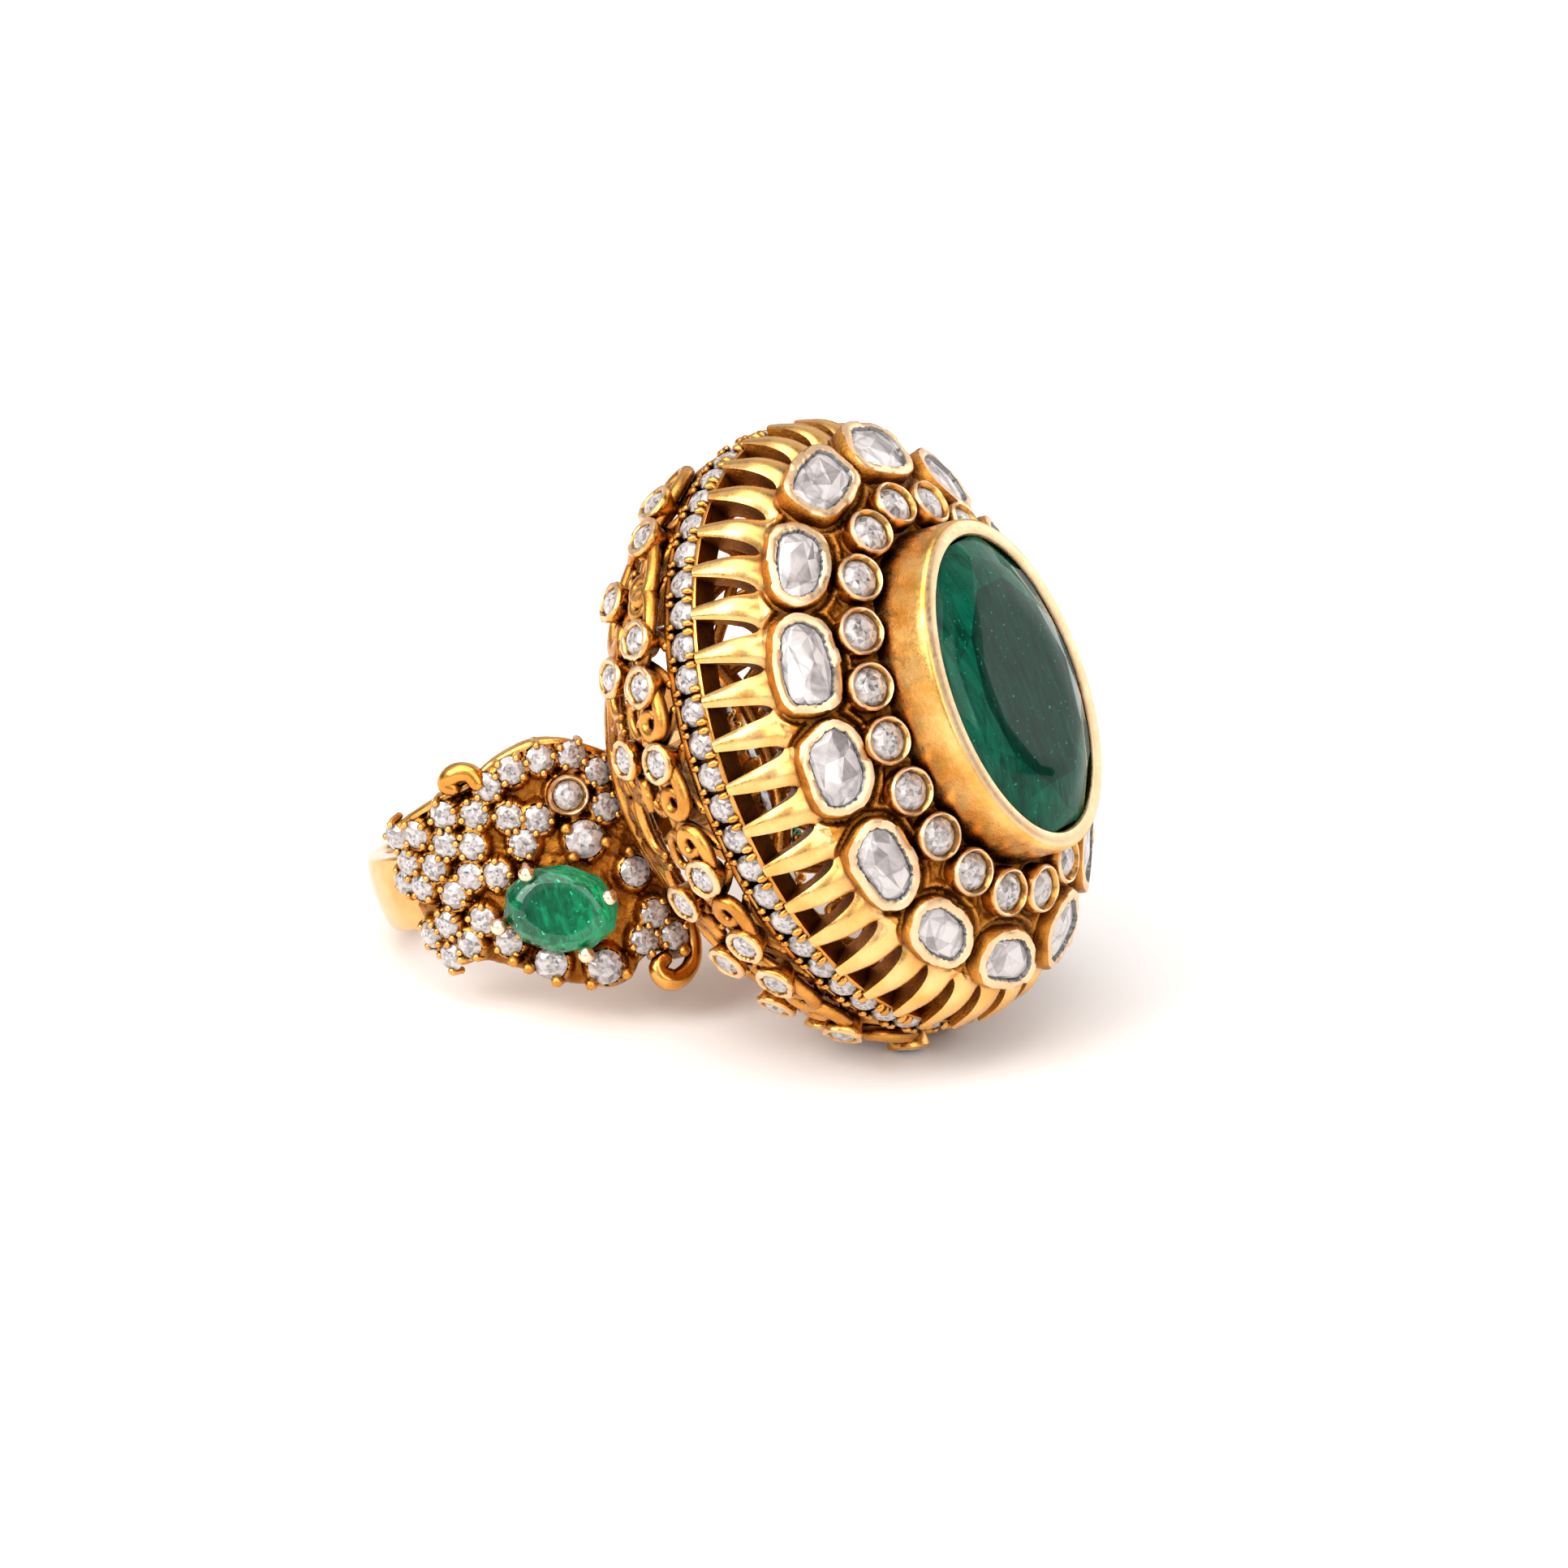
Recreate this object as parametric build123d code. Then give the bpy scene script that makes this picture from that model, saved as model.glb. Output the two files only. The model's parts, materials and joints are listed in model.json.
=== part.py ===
from build123d import *
import math
import os

# Cocktail ring with a domed oval head, in millimetres.
#
# Every piece is drawn upright first: the origin is the centre of the finger hole, +Z points
# to the head, X runs along the finger and along the head's long axis, and -Y is the near
# shoulder. REST_TURN then lays the ring down about Y, as it lies on a table: on the back edge
# of its band and on the low end of its head.
#
# An angle round the head starts at its upper end (-X) and rises through the near side (-Y).

# ---- band and finger hole ----
FINGER_RADIUS = 8.5
BAND_THICKNESS = 1.4
BAND_EDGE_THICKNESS = 1.05
BAND_WIDTH = 4.0
BAND_CENTRE_X = 0.4

# ---- head, as (height, half length, half width) of ovals ----
BASE_RAIL_FOOT = 8.4
BASKET_FOOT = 10.4
BASKET_TOP = 20.7
RAIL_TOP = 22.5
BASKET_LEVELS = (
    (BASKET_FOOT, 7.0, 5.6),
    (13.0, 10.7, 8.4),
    (16.0, 13.6, 10.8),
    (18.6, 15.0, 11.8),
    (BASKET_TOP, 15.2, 12.0),
)
DOME_LEVELS = (
    (RAIL_TOP, 15.1, 11.9),
    (24.0, 15.2, 12.0),
    (25.4, 14.75, 11.5),
    (26.55, 12.96, 9.6),
    (28.1, 10.1, 7.1),
    (28.5, 8.3, 5.5),
)
WALL = 0.9
BASE_RAIL_FLARE = 0.2
BASE_RAIL_WIDTH = 1.3
SADDLE_RADIUS = 9.5
RAIL_OVAL = (15.55, 12.4)
RAIL_WIDTH = 1.4
FLUTE_COUNT = 40
FLUTE_PHASE = 0.24
FLUTE_RING_INSET = 0.4
FLUTE_FOOT = 22.75
FLUTE_OPENING = (1.5, 2.75)

# ---- openings of the basket: height, oval, count and radius of each row of round holes ----
BASKET_HOLE_ROWS = (
    (12.2, (9.6, 7.6), 16, 0.95),
    (14.2, (11.9, 9.4), 22, 1.0),
)
BASKET_HOLE_LEAN = -40
BASKET_HOLE_DEPTH = 2.0
BASKET_WINDOW_OVAL = (15.0, 11.8)
BASKET_WINDOW_HEIGHT = 19.0
BASKET_WINDOW_COUNT = 22
BASKET_WINDOW = (1.4, 1.3)

# ---- centre emerald and its collet ----
COLLET_OVAL = (8.65, 5.95)
COLLET_FOOT = 27.3
COLLET_TOP = 31.75
COLLET_WALL = 0.75
EMERALD_GIRDLE = (7.95, 5.4)
EMERALD_GIRDLE_HEIGHT = 31.2
EMERALD_GIRDLE_THICKNESS = 0.3
EMERALD_TABLE = (5.3, 3.7)
EMERALD_TABLE_HEIGHT = 32.5
EMERALD_CULET = (1.6, 0.7)
EMERALD_CULET_HEIGHT = 27.8
BEARING_HEIGHT = 1.2
BEARING_WIDTH = 0.6

# ---- cups and seats ----
CUP_FLOOR = 0.3
STONE_GAP = 0.02
SEAT_OVERRUN = 0.4
STONE_SINK = 0.2

# ---- rows of stones round the head: count, phase of the first, stone and cup radius ----
ROUND_OVAL = (10.34, 7.31)
ROUND_HEIGHT = 28.97
ROUND_LEAN = 70
ROUND_COUNT = 20
ROUND_STONE = 0.85
ROUND_CUP = 1.22
ROUND_CUP_DEPTH = 1.4
POLKI_OVAL = (13.44, 10.08)
POLKI_HEIGHT = 27.32
POLKI_LEAN = 58
GIRDLE_COUNT = 53
GIRDLE_PHASE = 0.41
GIRDLE_HEIGHT = 21.55
GIRDLE_STONE = 0.75
GIRDLE_SINK = 0.1
GIRDLE_SEAT_DEPTH = 0.9
UPPER_GALLERY_OVAL = (16.2, 12.9)
UPPER_GALLERY_HEIGHT = 18.9
UPPER_GALLERY_ANGLES = (26, 35, 58, 66, 80, 102, 117, 126, 148, 170)
LOWER_GALLERY_OVAL = (14.65, 11.85)
LOWER_GALLERY_HEIGHT = 16.0
LOWER_GALLERY_ANGLES = (43, 60, 77, 108, 124, 141, 158, 173)
UPPER_GALLERY_LEAN = -10
LOWER_GALLERY_LEAN = -20
GALLERY_STONE = 0.72
GALLERY_CUP = 1.08
GALLERY_CUP_DEPTH = 1.3

# Polki outlines in the plane of their rim: x along the oval, y towards the middle of the head.
POLKI_WALL = 0.5
POLKI_CORNER = 0.3
POLKI_DEPTH = 1.5
POLKI_POCKET = 0.8
FOIL_THICKNESS = 0.1
POLKI_SLAB = 0.15
POLKI_RISE = 0.05
POLKI_TABLE_SHARE = 0.8
POLKI_OUTLINES = (
    ((-1.65, -0.9), (0.3, -1.2), (2.0, -0.9), (2.2, 0.3), (1.8, 1.2), (0.1, 1.4), (-1.3, 1.1)),
    ((-1.1, -1.0), (0.6, -1.05), (1.85, -0.6), (2.1, 0.2), (1.5, 1.05), (0.2, 1.3), (-1.1, 1.05),
     (-1.55, 0.0)),
    ((-1.6, -0.85), (0.4, -1.2), (2.05, -0.9), (2.25, 0.4), (1.9, 1.25), (0.4, 1.45), (-1.4, 1.15),
     (-2.0, 0.1)),
    ((-1.1, -1.0), (1.7, -1.1), (2.15, -0.3), (2.0, 0.7), (1.1, 1.45), (-1.0, 1.4), (-1.75, 0.7)),
    ((-0.8, -1.1), (1.8, -1.0), (2.45, -0.2), (2.1, 0.75), (1.2, 1.2), (-0.9, 1.25), (-1.5, 0.4)),
    ((-0.95, -0.95), (0.45, -1.2), (1.75, -0.8), (1.85, 0.1), (1.05, 0.95), (-0.8, 0.95),
     (-1.5, 0.1)),
    ((-1.1, -1.0), (1.1, -1.1), (1.8, -0.6), (1.5, 0.4), (0.4, 1.2), (-1.4, 1.0), (-1.8, -0.2)),
    ((-1.8, -0.9), (-0.2, -1.2), (1.4, -0.8), (1.3, 1.0), (0.0, 1.3), (-1.6, 1.1)),
    ((-1.7, -0.9), (1.5, -1.1), (1.9, 0.1), (1.4, 1.1), (-1.3, 1.2), (-2.0, 0.2)),
    ((-1.4, -1.1), (1.4, -1.0), (2.0, 0.0), (1.2, 1.2), (-1.2, 1.2), (-1.9, 0.0)),
    ((-1.8, -1.0), (0.2, -1.25), (2.0, -0.8), (2.1, 0.6), (0.8, 1.35), (-1.5, 1.1)),
    ((-1.2, -1.1), (1.6, -1.0), (2.0, 0.3), (0.9, 1.3), (-1.2, 1.1), (-1.8, -0.1)),
    ((-0.7, -1.35), (1.1, -1.45), (2.1, -0.1), (1.8, 1.2), (-0.6, 1.3), (-1.4, 0.0)),
    ((-0.9, -1.5), (1.4, -1.3), (2.3, 0.3), (2.1, 1.3), (-0.4, 1.4), (-1.3, 0.8), (-1.5, -0.5)),
)

# ---- shoulders, as (along, across): along is arc length on SHOULDER_RADIUS from the side of
# the finger towards the head, across is the distance towards the head's upper end ----
SHOULDER_RADIUS = 11.2
PLATE_INNER_RADIUS = 8.9
PLATE_OUTER_RADIUS = 10.9
SHOULDER_MIDDLE = 26
PLATE_OUTLINE = (
    (-2.4, -1.0), (-2.0, -3.4), (2.0, -5.1), (5.3, -6.9), (8.6, -7.9), (10.6, -7.2),
    (12.9, -6.9), (13.2, -3.0), (12.7, 1.5), (11.4, 4.0), (8.5, 5.0), (5.0, 4.7), (1.0, 3.9),
    (-1.9, 2.4),
)
PAVE_STONE = 0.67
PAVE_SEAT_DEPTH = 0.7
PAVE_PLACES = (
    (5.6, 3.7), (7.1, 4.1), (8.75, 4.1), (10.4, 3.7), (11.45, 2.4), (11.1, 0.6),
    (2.7, 3.1), (4.4, 2.65), (6.1, 1.9), (7.5, 1.3), (2.1, 1.65), (3.7, 1.15), (6.3, 0.4),
    (0.6, 2.65), (-0.9, 2.75), (-0.7, 1.3), (0.95, 0.7), (2.9, -0.3), (4.35, -0.65),
    (-1.75, 0.35), (-0.35, -0.1), (1.5, -0.95), (0.35, -2.3), (-1.15, -2.6), (2.6, -2.6),
    (1.3, -3.6), (-0.2, -3.9), (3.6, -4.1), (11.5, -5.4), (10.5, -6.45), (12.1, -6.85),
)
PRONG_STONE = 0.9
PRONG_SEAT_DEPTH = 0.8
PRONG_RISE = 0.1
PRONG_PLACES = ((9.4, -0.5), (11.3, -3.0), (5.4, -5.8), (8.0, -6.9))
ACCENT_PLACE = (9.4, 1.9)
ACCENT_STONE = 0.72
ACCENT_CUP = 1.0
ACCENT_RISE = 0.5
ACCENT_DEPTH = 1.7
ACCENT_FLOOR = 0.7
SIDE_EMERALD_PLACE = (7.0, -3.3)
SIDE_EMERALD_OVAL = (2.95, 2.25)
SIDE_EMERALD_TILT = -27
SIDE_EMERALD_RADIUS = 11.6
SIDE_EMERALD_CROWN = 0.85
SIDE_EMERALD_PAVILION = 1.3
GALLERY_WIRE_FOOT = 1.1
GALLERY_WIRE_HEIGHT = 0.7
GALLERY_WIRE_OUTER = 0.2
GALLERY_WIRE_INNER = 0.7
CLAW_PLACES = ((6.1, -0.85), (9.45, -3.6), (7.4, -6.0), (3.8, -3.0))
CLAW_WIRE = 0.3
CLAW_BALL = 0.44
CLAW_FOOT_RADIUS = 10.4
CLAW_BALL_RADIUS = 12.2
HOOK_PLACE = (11.6, -8.1)
HOOK_BEND = 0.9
HOOK_START = 20
HOOK_SWEEP = 200
HOOK_WIRE = 0.5
HOOK_SINK = 0.5
ROLL_PLACE = (4.3, 4.75)
ROLL_WIRE = 0.6
ROLL_LENGTH = 2.2
ROLL_SINK = 0.6

REST_TURN = 64.25


def oval_place(oval, height, angle, lean):
    """Plane on an oval: x along it, z outward and raised by lean degrees, y up the slope."""
    half_length, half_width = oval
    turn = math.radians(angle)
    rise = math.radians(lean)
    centre = Vector(-half_length * math.cos(turn), -half_width * math.sin(turn), height)
    outward = Vector(-math.cos(turn) / half_length, -math.sin(turn) / half_width, 0).normalized()
    along = Vector(half_length * math.sin(turn), -half_width * math.cos(turn), 0).normalized()
    normal = outward * math.cos(rise) + Vector(0, 0, 1) * math.sin(rise)
    return Plane(origin=centre, x_dir=along, z_dir=normal)


def equal_angles(oval, count, phase):
    """Angles that share an oval's length out equally."""
    half_length, half_width = oval
    steps = 3600
    walked = [0.0]
    for step in range(steps):
        turn = math.radians((step + 0.5) * 360 / steps)
        walked.append(walked[-1] + math.hypot(half_length * math.sin(turn),
                                              half_width * math.cos(turn)))
    angles = []
    for index in range(count):
        target = (index + phase) / count * walked[-1]
        step = next(place for place in range(steps) if walked[place + 1] >= target)
        angles.append((step + (target - walked[step]) / (walked[step + 1] - walked[step]))
                      * 360 / steps)
    return angles


def mirrored(angles):
    """The same angles on both long sides of the head."""
    return [*angles, *[360 - angle for angle in reversed(angles)]]


def oval_prism(oval, low, high):
    """Upright oval block from one height to another."""
    return extrude(Plane.XY.offset(low) * Ellipse(*oval), high - low)


def oval_skin(levels, wall):
    """Open-ended lofted wall whose outside follows the given ovals."""
    outside = loft([Plane.XY.offset(level) * Ellipse(length, width)
                    for level, length, width in levels])
    inside = loft([Plane.XY.offset(level) * Ellipse(length - wall, width - wall)
                   for level, length, width in levels])
    return outside - inside


def brilliant(place, radius):
    """Round brilliant with its table outward, its girdle a little under the place."""
    table = 0.55 * radius
    crown = 0.3 * radius
    pavilion = 0.85 * radius
    profile = make_face(Plane.XZ * Polyline(
        (0, crown), (table, crown), (radius, 0), (radius, -0.06), (0.05, -pavilion),
        (0, -pavilion), close=True))
    return place * revolve(profile, Axis.Z)


def seat(place, radius, depth):
    """Round hole for a stone, cut in from the place."""
    middle = SEAT_OVERRUN - depth / 2
    return place * Pos(0, 0, middle) * Cylinder(radius, depth + 2 * SEAT_OVERRUN)


def largest(shape):
    """The one solid that counts when a cut leaves slivers beside it."""
    return max(shape.solids(), key=lambda solid: solid.volume)


def cup_blank(place, radius, depth):
    """Solid stub that a rub-over cup is made from; its rim is at the place."""
    return place * Pos(0, 0, -depth / 2) * Cylinder(radius, depth)


def cup(place, radius, stone, depth, floor):
    """Rub-over cup: a short tube with a floor, its rim at the place."""
    return cup_blank(place, radius, depth) - seat(place, stone, depth - floor)


def shoulder_place(spot, side, radius):
    """Plane on a shoulder: x towards the head and z outward.

    Its y points to the head's upper end on the near side and to the low end on the far side.
    """
    along, across = spot
    turn = along / SHOULDER_RADIUS
    outward = Vector(0, side * math.cos(turn), math.sin(turn))
    ahead = Vector(0, -side * math.sin(turn), math.cos(turn))
    return Plane(origin=outward * radius + Vector(-across, 0, 0), x_dir=ahead, z_dir=outward)


# ---------------------------------------------------------------- band
def shank_band():
    low = BAND_CENTRE_X - BAND_WIDTH / 2
    high = BAND_CENTRE_X + BAND_WIDTH / 2
    edge = FINGER_RADIUS + BAND_EDGE_THICKNESS
    crown = FINGER_RADIUS + BAND_THICKNESS
    walls = Polyline((low, edge), (low, FINGER_RADIUS), (high, FINGER_RADIUS), (high, edge))
    top = ThreePointArc((high, edge), (BAND_CENTRE_X, crown), (low, edge))
    return revolve(make_face([*walls.edges(), *top.edges()]), Axis.X)


def finger_tube(radius, length):
    """Cylinder along the finger."""
    return Rot(0, 90, 0) * Cylinder(radius, length)


# ---------------------------------------------------------------- head
def base_rail_oval():
    """Outer oval of the base rail, a little larger than the basket's foot."""
    return (BASKET_LEVELS[0][1] + BASE_RAIL_FLARE, BASKET_LEVELS[0][2] + BASE_RAIL_FLARE)


def base_rail(band):
    """Oval rail that saddles the band and carries the basket."""
    outer = base_rail_oval()
    inner = (outer[0] - BASE_RAIL_WIDTH, outer[1] - BASE_RAIL_WIDTH)
    rail = oval_prism(outer, BASE_RAIL_FOOT, BASKET_FOOT)
    rail -= oval_prism(inner, BASE_RAIL_FOOT, BASKET_FOOT)
    return rail - finger_tube(SADDLE_RADIUS, 40) - band


def window(place, width, height):
    """Arched cutter through a wall, with its foot at the place."""
    arch = 0.3 * width
    shoulder = height - arch
    sides = Polyline((-arch, shoulder), (-width / 2, 0), (width / 2, 0), (arch, shoulder))
    crown = ThreePointArc((arch, shoulder), (0, height), (-arch, shoulder))
    face = make_face([*sides.edges(), *crown.edges()])
    return extrude(place * face, amount=1.5, both=True)


def gallery_basket(blanks):
    """Openwork bowl between the base rail and the girdle rail."""
    basket = oval_skin(BASKET_LEVELS, WALL)
    cutters = list(blanks)
    for height, oval, count, radius in BASKET_HOLE_ROWS:
        for angle in equal_angles(oval, count, 0):
            place = oval_place(oval, height, angle, BASKET_HOLE_LEAN)
            cutters.append(seat(place, radius, BASKET_HOLE_DEPTH))
    for angle in equal_angles(BASKET_WINDOW_OVAL, BASKET_WINDOW_COUNT, 0.5):
        place = oval_place(BASKET_WINDOW_OVAL, BASKET_WINDOW_HEIGHT, angle, 0)
        cutters.append(window(place, *BASKET_WINDOW))
    return basket - cutters


def girdle_rail(places):
    """Flat-sided rail that holds the single row of stones round the girdle."""
    inner = (RAIL_OVAL[0] - RAIL_WIDTH, RAIL_OVAL[1] - RAIL_WIDTH)
    rail = oval_prism(RAIL_OVAL, BASKET_TOP, RAIL_TOP)
    rail -= oval_prism(inner, BASKET_TOP, RAIL_TOP)
    return rail - [seat(place, GIRDLE_STONE + STONE_GAP, GIRDLE_SEAT_DEPTH) for place in places]


def fluted_dome(blanks):
    """Pierced skirt of flutes and the domed top in one casting."""
    dome = oval_skin(DOME_LEVELS, WALL)
    ring = (DOME_LEVELS[1][1] - FLUTE_RING_INSET, DOME_LEVELS[1][2] - FLUTE_RING_INSET)
    cutters = list(blanks)
    for angle in equal_angles(ring, FLUTE_COUNT, FLUTE_PHASE):
        cutters.append(window(oval_place(ring, FLUTE_FOOT, angle, 0), *FLUTE_OPENING))
    cutters.append(oval_prism(COLLET_OVAL, COLLET_FOOT - 1, COLLET_TOP))
    return dome - cutters


def centre_emerald():
    """Oval emerald: pavilion, thin girdle and low crown."""
    stations = (
        (EMERALD_CULET_HEIGHT, EMERALD_CULET),
        (EMERALD_GIRDLE_HEIGHT, EMERALD_GIRDLE),
        (EMERALD_GIRDLE_HEIGHT + EMERALD_GIRDLE_THICKNESS, EMERALD_GIRDLE),
        (EMERALD_TABLE_HEIGHT, EMERALD_TABLE),
    )
    return loft([Plane.XY.offset(level) * Ellipse(*oval) for level, oval in stations], ruled=True)


def emerald_collet(stone, bearing):
    """Tall plain wall rubbed over the emerald's girdle."""
    inner = (COLLET_OVAL[0] - COLLET_WALL, COLLET_OVAL[1] - COLLET_WALL)
    collet = oval_prism(COLLET_OVAL, COLLET_FOOT, COLLET_TOP)
    return collet - oval_prism(inner, COLLET_FOOT, COLLET_TOP) - stone - bearing


def emerald_bearing(stone):
    """Inner ledge that the emerald's pavilion sits on."""
    outer = (COLLET_OVAL[0] - COLLET_WALL, COLLET_OVAL[1] - COLLET_WALL)
    inner = (outer[0] - BEARING_WIDTH, outer[1] - BEARING_WIDTH)
    top = EMERALD_GIRDLE_HEIGHT
    ledge = oval_prism(outer, top - BEARING_HEIGHT, top)
    return ledge - oval_prism(inner, top - BEARING_HEIGHT, top) - stone


def polki_face(outline):
    """Rounded face of one polki stone in its own plane."""
    face = make_face(Polyline(*outline, close=True))
    return fillet(face.vertices(), POLKI_CORNER)


def polki_blank(place, outline):
    """Solid stub of a polki cup."""
    face = offset(polki_face(outline), POLKI_WALL)
    return extrude(place * Pos(0, 0, -POLKI_DEPTH) * face, POLKI_DEPTH)


def polki_cup(place, outline):
    """Cup with a flat-bottomed pocket in the outline of its stone."""
    pocket = extrude(place * Pos(0, 0, -POLKI_POCKET) * polki_face(outline), POLKI_POCKET)
    return polki_blank(place, outline) - pocket


def polki_foil(place, outline):
    """Silver foil on the floor of the pocket."""
    return extrude(place * Pos(0, 0, -POLKI_POCKET) * polki_face(outline), FOIL_THICKNESS)


def polki_diamond(place, outline):
    """Flat uncut diamond with a bevelled edge, lying on its foil."""
    foot = POLKI_POCKET - FOIL_THICKNESS
    shelf = foot - POLKI_SLAB
    face = polki_face(outline)
    slab = extrude(place * Pos(0, 0, -foot) * face, foot - shelf)
    crown = loft([place * Pos(0, 0, -shelf) * face,
                  place * Pos(0, 0, POLKI_RISE) * scale(face, POLKI_TABLE_SHARE)], ruled=True)
    return slab + crown


# ---------------------------------------------------------------- shoulders
def shoulder_plate(side, band, basket_outside):
    """Curved plate on the shoulder of the band, with seats for its stones."""
    middle = math.radians(SHOULDER_MIDDLE)
    outward = Vector(0, side * math.cos(middle), math.sin(middle))
    ahead = Vector(0, -side * math.sin(middle), math.cos(middle))
    sheet = Plane(origin=(0, 0, 0), x_dir=ahead, z_dir=outward)
    corners = []
    for along, across in PLATE_OUTLINE:
        flat = SHOULDER_RADIUS * math.sin(along / SHOULDER_RADIUS - middle)
        corners.append((flat, side * -across))
    prism = extrude(sheet * make_face(Spline(*corners, periodic=True)), 20)
    shell = finger_tube(PLATE_OUTER_RADIUS, 30) - finger_tube(PLATE_INNER_RADIUS, 30)
    plate = (shell & prism) - band - basket_outside
    cutters = []
    for spot in PAVE_PLACES:
        place = shoulder_place(spot, side, PLATE_OUTER_RADIUS)
        cutters.append(seat(place, PAVE_STONE, PAVE_SEAT_DEPTH))
    for spot in PRONG_PLACES:
        place = shoulder_place(spot, side, PLATE_OUTER_RADIUS)
        cutters.append(seat(place, PRONG_STONE, PRONG_SEAT_DEPTH))
    cutters.append(accent_blank(side))
    return plate - cutters


def accent_place(side):
    """Plane of the rim of the single rub-over cup on a shoulder."""
    return shoulder_place(ACCENT_PLACE, side, PLATE_OUTER_RADIUS + ACCENT_RISE)


def accent_blank(side):
    """Stub of the single rub-over cup on a shoulder."""
    return cup_blank(accent_place(side), ACCENT_CUP, ACCENT_DEPTH)


def accent_cup(side):
    """Rub-over cup for one round stone of a shoulder."""
    return cup(accent_place(side), ACCENT_CUP, ACCENT_STONE, ACCENT_DEPTH, ACCENT_FLOOR)


def side_emerald_place(side):
    """Plane of a side emerald's girdle, x along the stone."""
    return shoulder_place(SIDE_EMERALD_PLACE, side, SIDE_EMERALD_RADIUS) * \
        Rot(0, 0, -side * SIDE_EMERALD_TILT)


def side_emerald(side):
    """Smaller oval emerald of one shoulder."""
    length, width = SIDE_EMERALD_OVAL
    stations = ((-SIDE_EMERALD_PAVILION, 0.15), (0, 1.0), (0.15, 1.0), (SIDE_EMERALD_CROWN, 0.6))
    place = side_emerald_place(side)
    return loft([place * Pos(0, 0, level) * Ellipse(length * share, width * share)
                 for level, share in stations], ruled=True)


def emerald_claws(side, stone, plate):
    """Oval wire gallery with four ball-tipped claws."""
    length, width = SIDE_EMERALD_OVAL
    place = side_emerald_place(side)
    foot = place * Pos(0, 0, -GALLERY_WIRE_FOOT)
    outer = foot * Ellipse(length + GALLERY_WIRE_OUTER, width + GALLERY_WIRE_OUTER)
    inner = foot * Ellipse(length - GALLERY_WIRE_INNER, width - GALLERY_WIRE_INNER)
    ring = extrude(outer, GALLERY_WIRE_HEIGHT) - extrude(inner, GALLERY_WIRE_HEIGHT)
    for spot in CLAW_PLACES:
        foot = shoulder_place(spot, side, CLAW_FOOT_RADIUS)
        height = CLAW_BALL_RADIUS - CLAW_FOOT_RADIUS
        ring += foot * Pos(0, 0, height / 2) * Cylinder(CLAW_WIRE, height)
        ring += foot * Pos(0, 0, height) * Sphere(CLAW_BALL)
    return largest(ring - stone - plate)


def shoulder_scrolls(side, plate):
    """Hooked wire at the low corner and rolled end at the upper edge of a shoulder."""
    place = shoulder_place(HOOK_PLACE, side, PLATE_OUTER_RADIUS - HOOK_SINK)
    path = place * CenterArc((0, 0), HOOK_BEND, -side * HOOK_START, side * HOOK_SWEEP)
    hook = sweep(Plane(origin=path @ 0, z_dir=path % 0) * Circle(HOOK_WIRE), path)
    roll_place = shoulder_place(ROLL_PLACE, side, PLATE_OUTER_RADIUS - ROLL_SINK)
    roll = roll_place * Rot(0, 90, 0) * Cylinder(ROLL_WIRE, ROLL_LENGTH)
    return [largest(hook - plate), largest(roll - plate)]


# ---------------------------------------------------------------- assembly
def write(name, *solids):
    """Lay the solids of one node down as the ring rests, and write them."""
    laid = [solid.rotate(Axis.Y, REST_TURN) for shape in solids for solid in shape.solids()]
    node = laid[0] if len(laid) == 1 else Compound(children=laid)
    node.label = name
    export_step(node, f"parts/{name}.step")


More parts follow.
